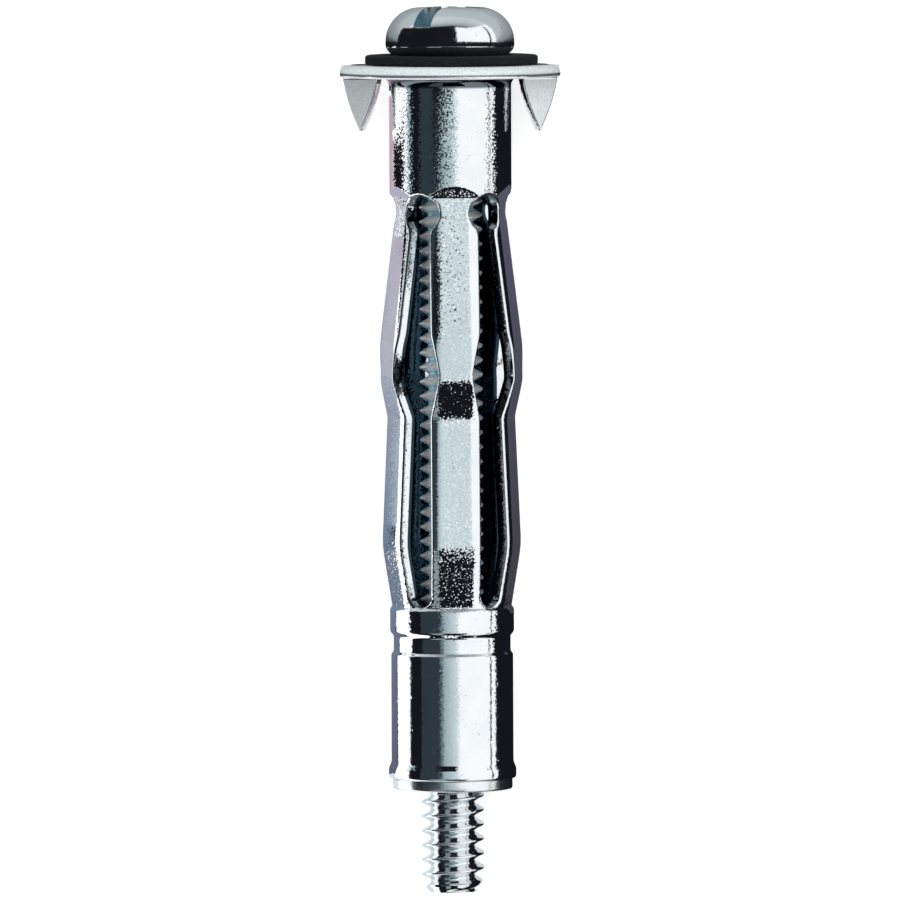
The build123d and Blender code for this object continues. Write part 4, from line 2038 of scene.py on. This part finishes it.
    def seen_directly(self, sheet: NodeSheet) -> bpy.types.NodeSocket:
        """One for rays of the camera, of gloss and through glass, and nought for the rest.

        Args:
            sheet: Where the nodes go.

        Returns:
            One or nought.
        """
        path = sheet.add("ShaderNodeLightPath").outputs
        either = sheet.math("MAXIMUM", path["Is Camera Ray"], path["Is Glossy Ray"])
        return sheet.math("MAXIMUM", either, path["Is Transmission Ray"])

    def add_world(self) -> None:
        """Surrounds the scene with white that also fills the shadows."""
        world = bpy.data.worlds.new("studio")
        bpy.context.scene.world = world
        world.use_nodes = True
        sheet = NodeSheet(world.node_tree)
        seen = self.seen_directly(sheet)
        extra = sheet.math("MULTIPLY", seen, 1.0 - self.world_light)
        strength = sheet.math("ADD", extra, self.world_light)
        back = sheet.add("ShaderNodeBackground", Color=(1, 1, 1, 1), Strength=strength)
        sheet.add("ShaderNodeOutputWorld", Surface=back.outputs[0])

    def add_lamp(self, lamp: Lamp) -> None:
        """Hangs one soft lamp, which isn't seen in reflections.

        Args:
            lamp: The lamp.
        """
        data = bpy.data.lights.new(lamp.name, "AREA")
        data.shape = "SQUARE"
        data.size = lamp.size
        data.energy = lamp.power
        hung = bpy.data.objects.new(lamp.name, data)
        hung.location = lamp.spot
        hung.rotation_euler = (-Vector(lamp.spot)).to_track_quat("-Z", "Y").to_euler()
        hung.visible_glossy = False
        bpy.context.scene.collection.objects.link(hung)

    def add_camera(self) -> None:
        """Sets the camera over the anchor, a little toward its head, and leans the frame."""
        spot = self.place.place(0.0, -self.distance, self.camera_rise)
        aim = Vector(self.aim)
        forward = (aim - spot).normalized()
        across = forward.cross(self.place.axis).normalized()
        up = across.cross(forward)
        lean = math.radians(self.lean)
        right = across * math.cos(lean) - up * math.sin(lean)
        top = up * math.cos(lean) + across * math.sin(lean)
        data = bpy.data.cameras.new("camera")
        data.lens = self.lens
        data.sensor_width = self.sensor
        data.clip_start, data.clip_end = self.clip_span
        camera = bpy.data.objects.new("camera", data)
        camera.matrix_world = Matrix.Translation(spot) @ Matrix((right, top, -forward)).transposed().to_4x4()
        bpy.context.scene.collection.objects.link(camera)
        bpy.context.scene.camera = camera

    def build(self) -> None:
        """Sets up the whole studio."""
        bpy.context.scene.view_settings.view_transform = "Standard"
        self.add_world()
        self.add_floor()
        for lamp in self.lamps:
            self.add_lamp(lamp)
        glow = self.card_glow()
        for panel in self.panels:
            self.add_panel(panel, glow)
        for card in self.floor_cards:
            self.add_floor_card(card, glow)
        self.add_end_card(glow)
        self.add_camera()


def register(obj: bpy.types.Object, body: str, node: str) -> None:
    """Puts a finished piece on its body in place of its node, and reports it.

    Args:
        obj: The finished piece.
        body: The body that carries it.
        node: The node that it stands in for.
    """
    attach(obj, body)
    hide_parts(node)
    log.info("%s: %d faces, for %s on %s", obj.name, len(obj.data.polygons), node, body)


def main() -> None:
    """Builds the anchor's pieces and the studio round them."""
    logging.basicConfig(level=logging.INFO, format="%(name)s: %(message)s")
    screw = MachineScrew()
    place = AnchorFrame.from_screw_joint(screw.seat)
    sleeve = ExpansionSleeve()
    sheet_zinc = ZincFinish("zinc_plated_sheet").build()
    nut_zinc = ZincFinish("zinc_plated_nut", roughness=0.20).build()
    # The screw's painted shade, in its recess and thread roots, is tinted teal.
    screw_zinc = ZincFinish(
        "zinc_plated_screw", roughness=0.08, peel_tilt=0.05, pit_tilt=0.20, painted_shade_tint=(0.24, 0.54, 0.66),
    ).build()
    fibre = FibreFinish("black_fibre").build()
    register(sleeve.build(place, sheet_zinc), "anchor", "expansion_sleeve")
    register(ThreadedNut(sleeve).build(place, nut_zinc), "anchor", "threaded_nut")
    register(FibreWasher().build(place, fibre), "washer", "fibre_washer")
    register(screw.build(place, screw_zinc), "screw", "machine_screw")
    Studio(place).build()


if __name__ == "__main__":
    main()
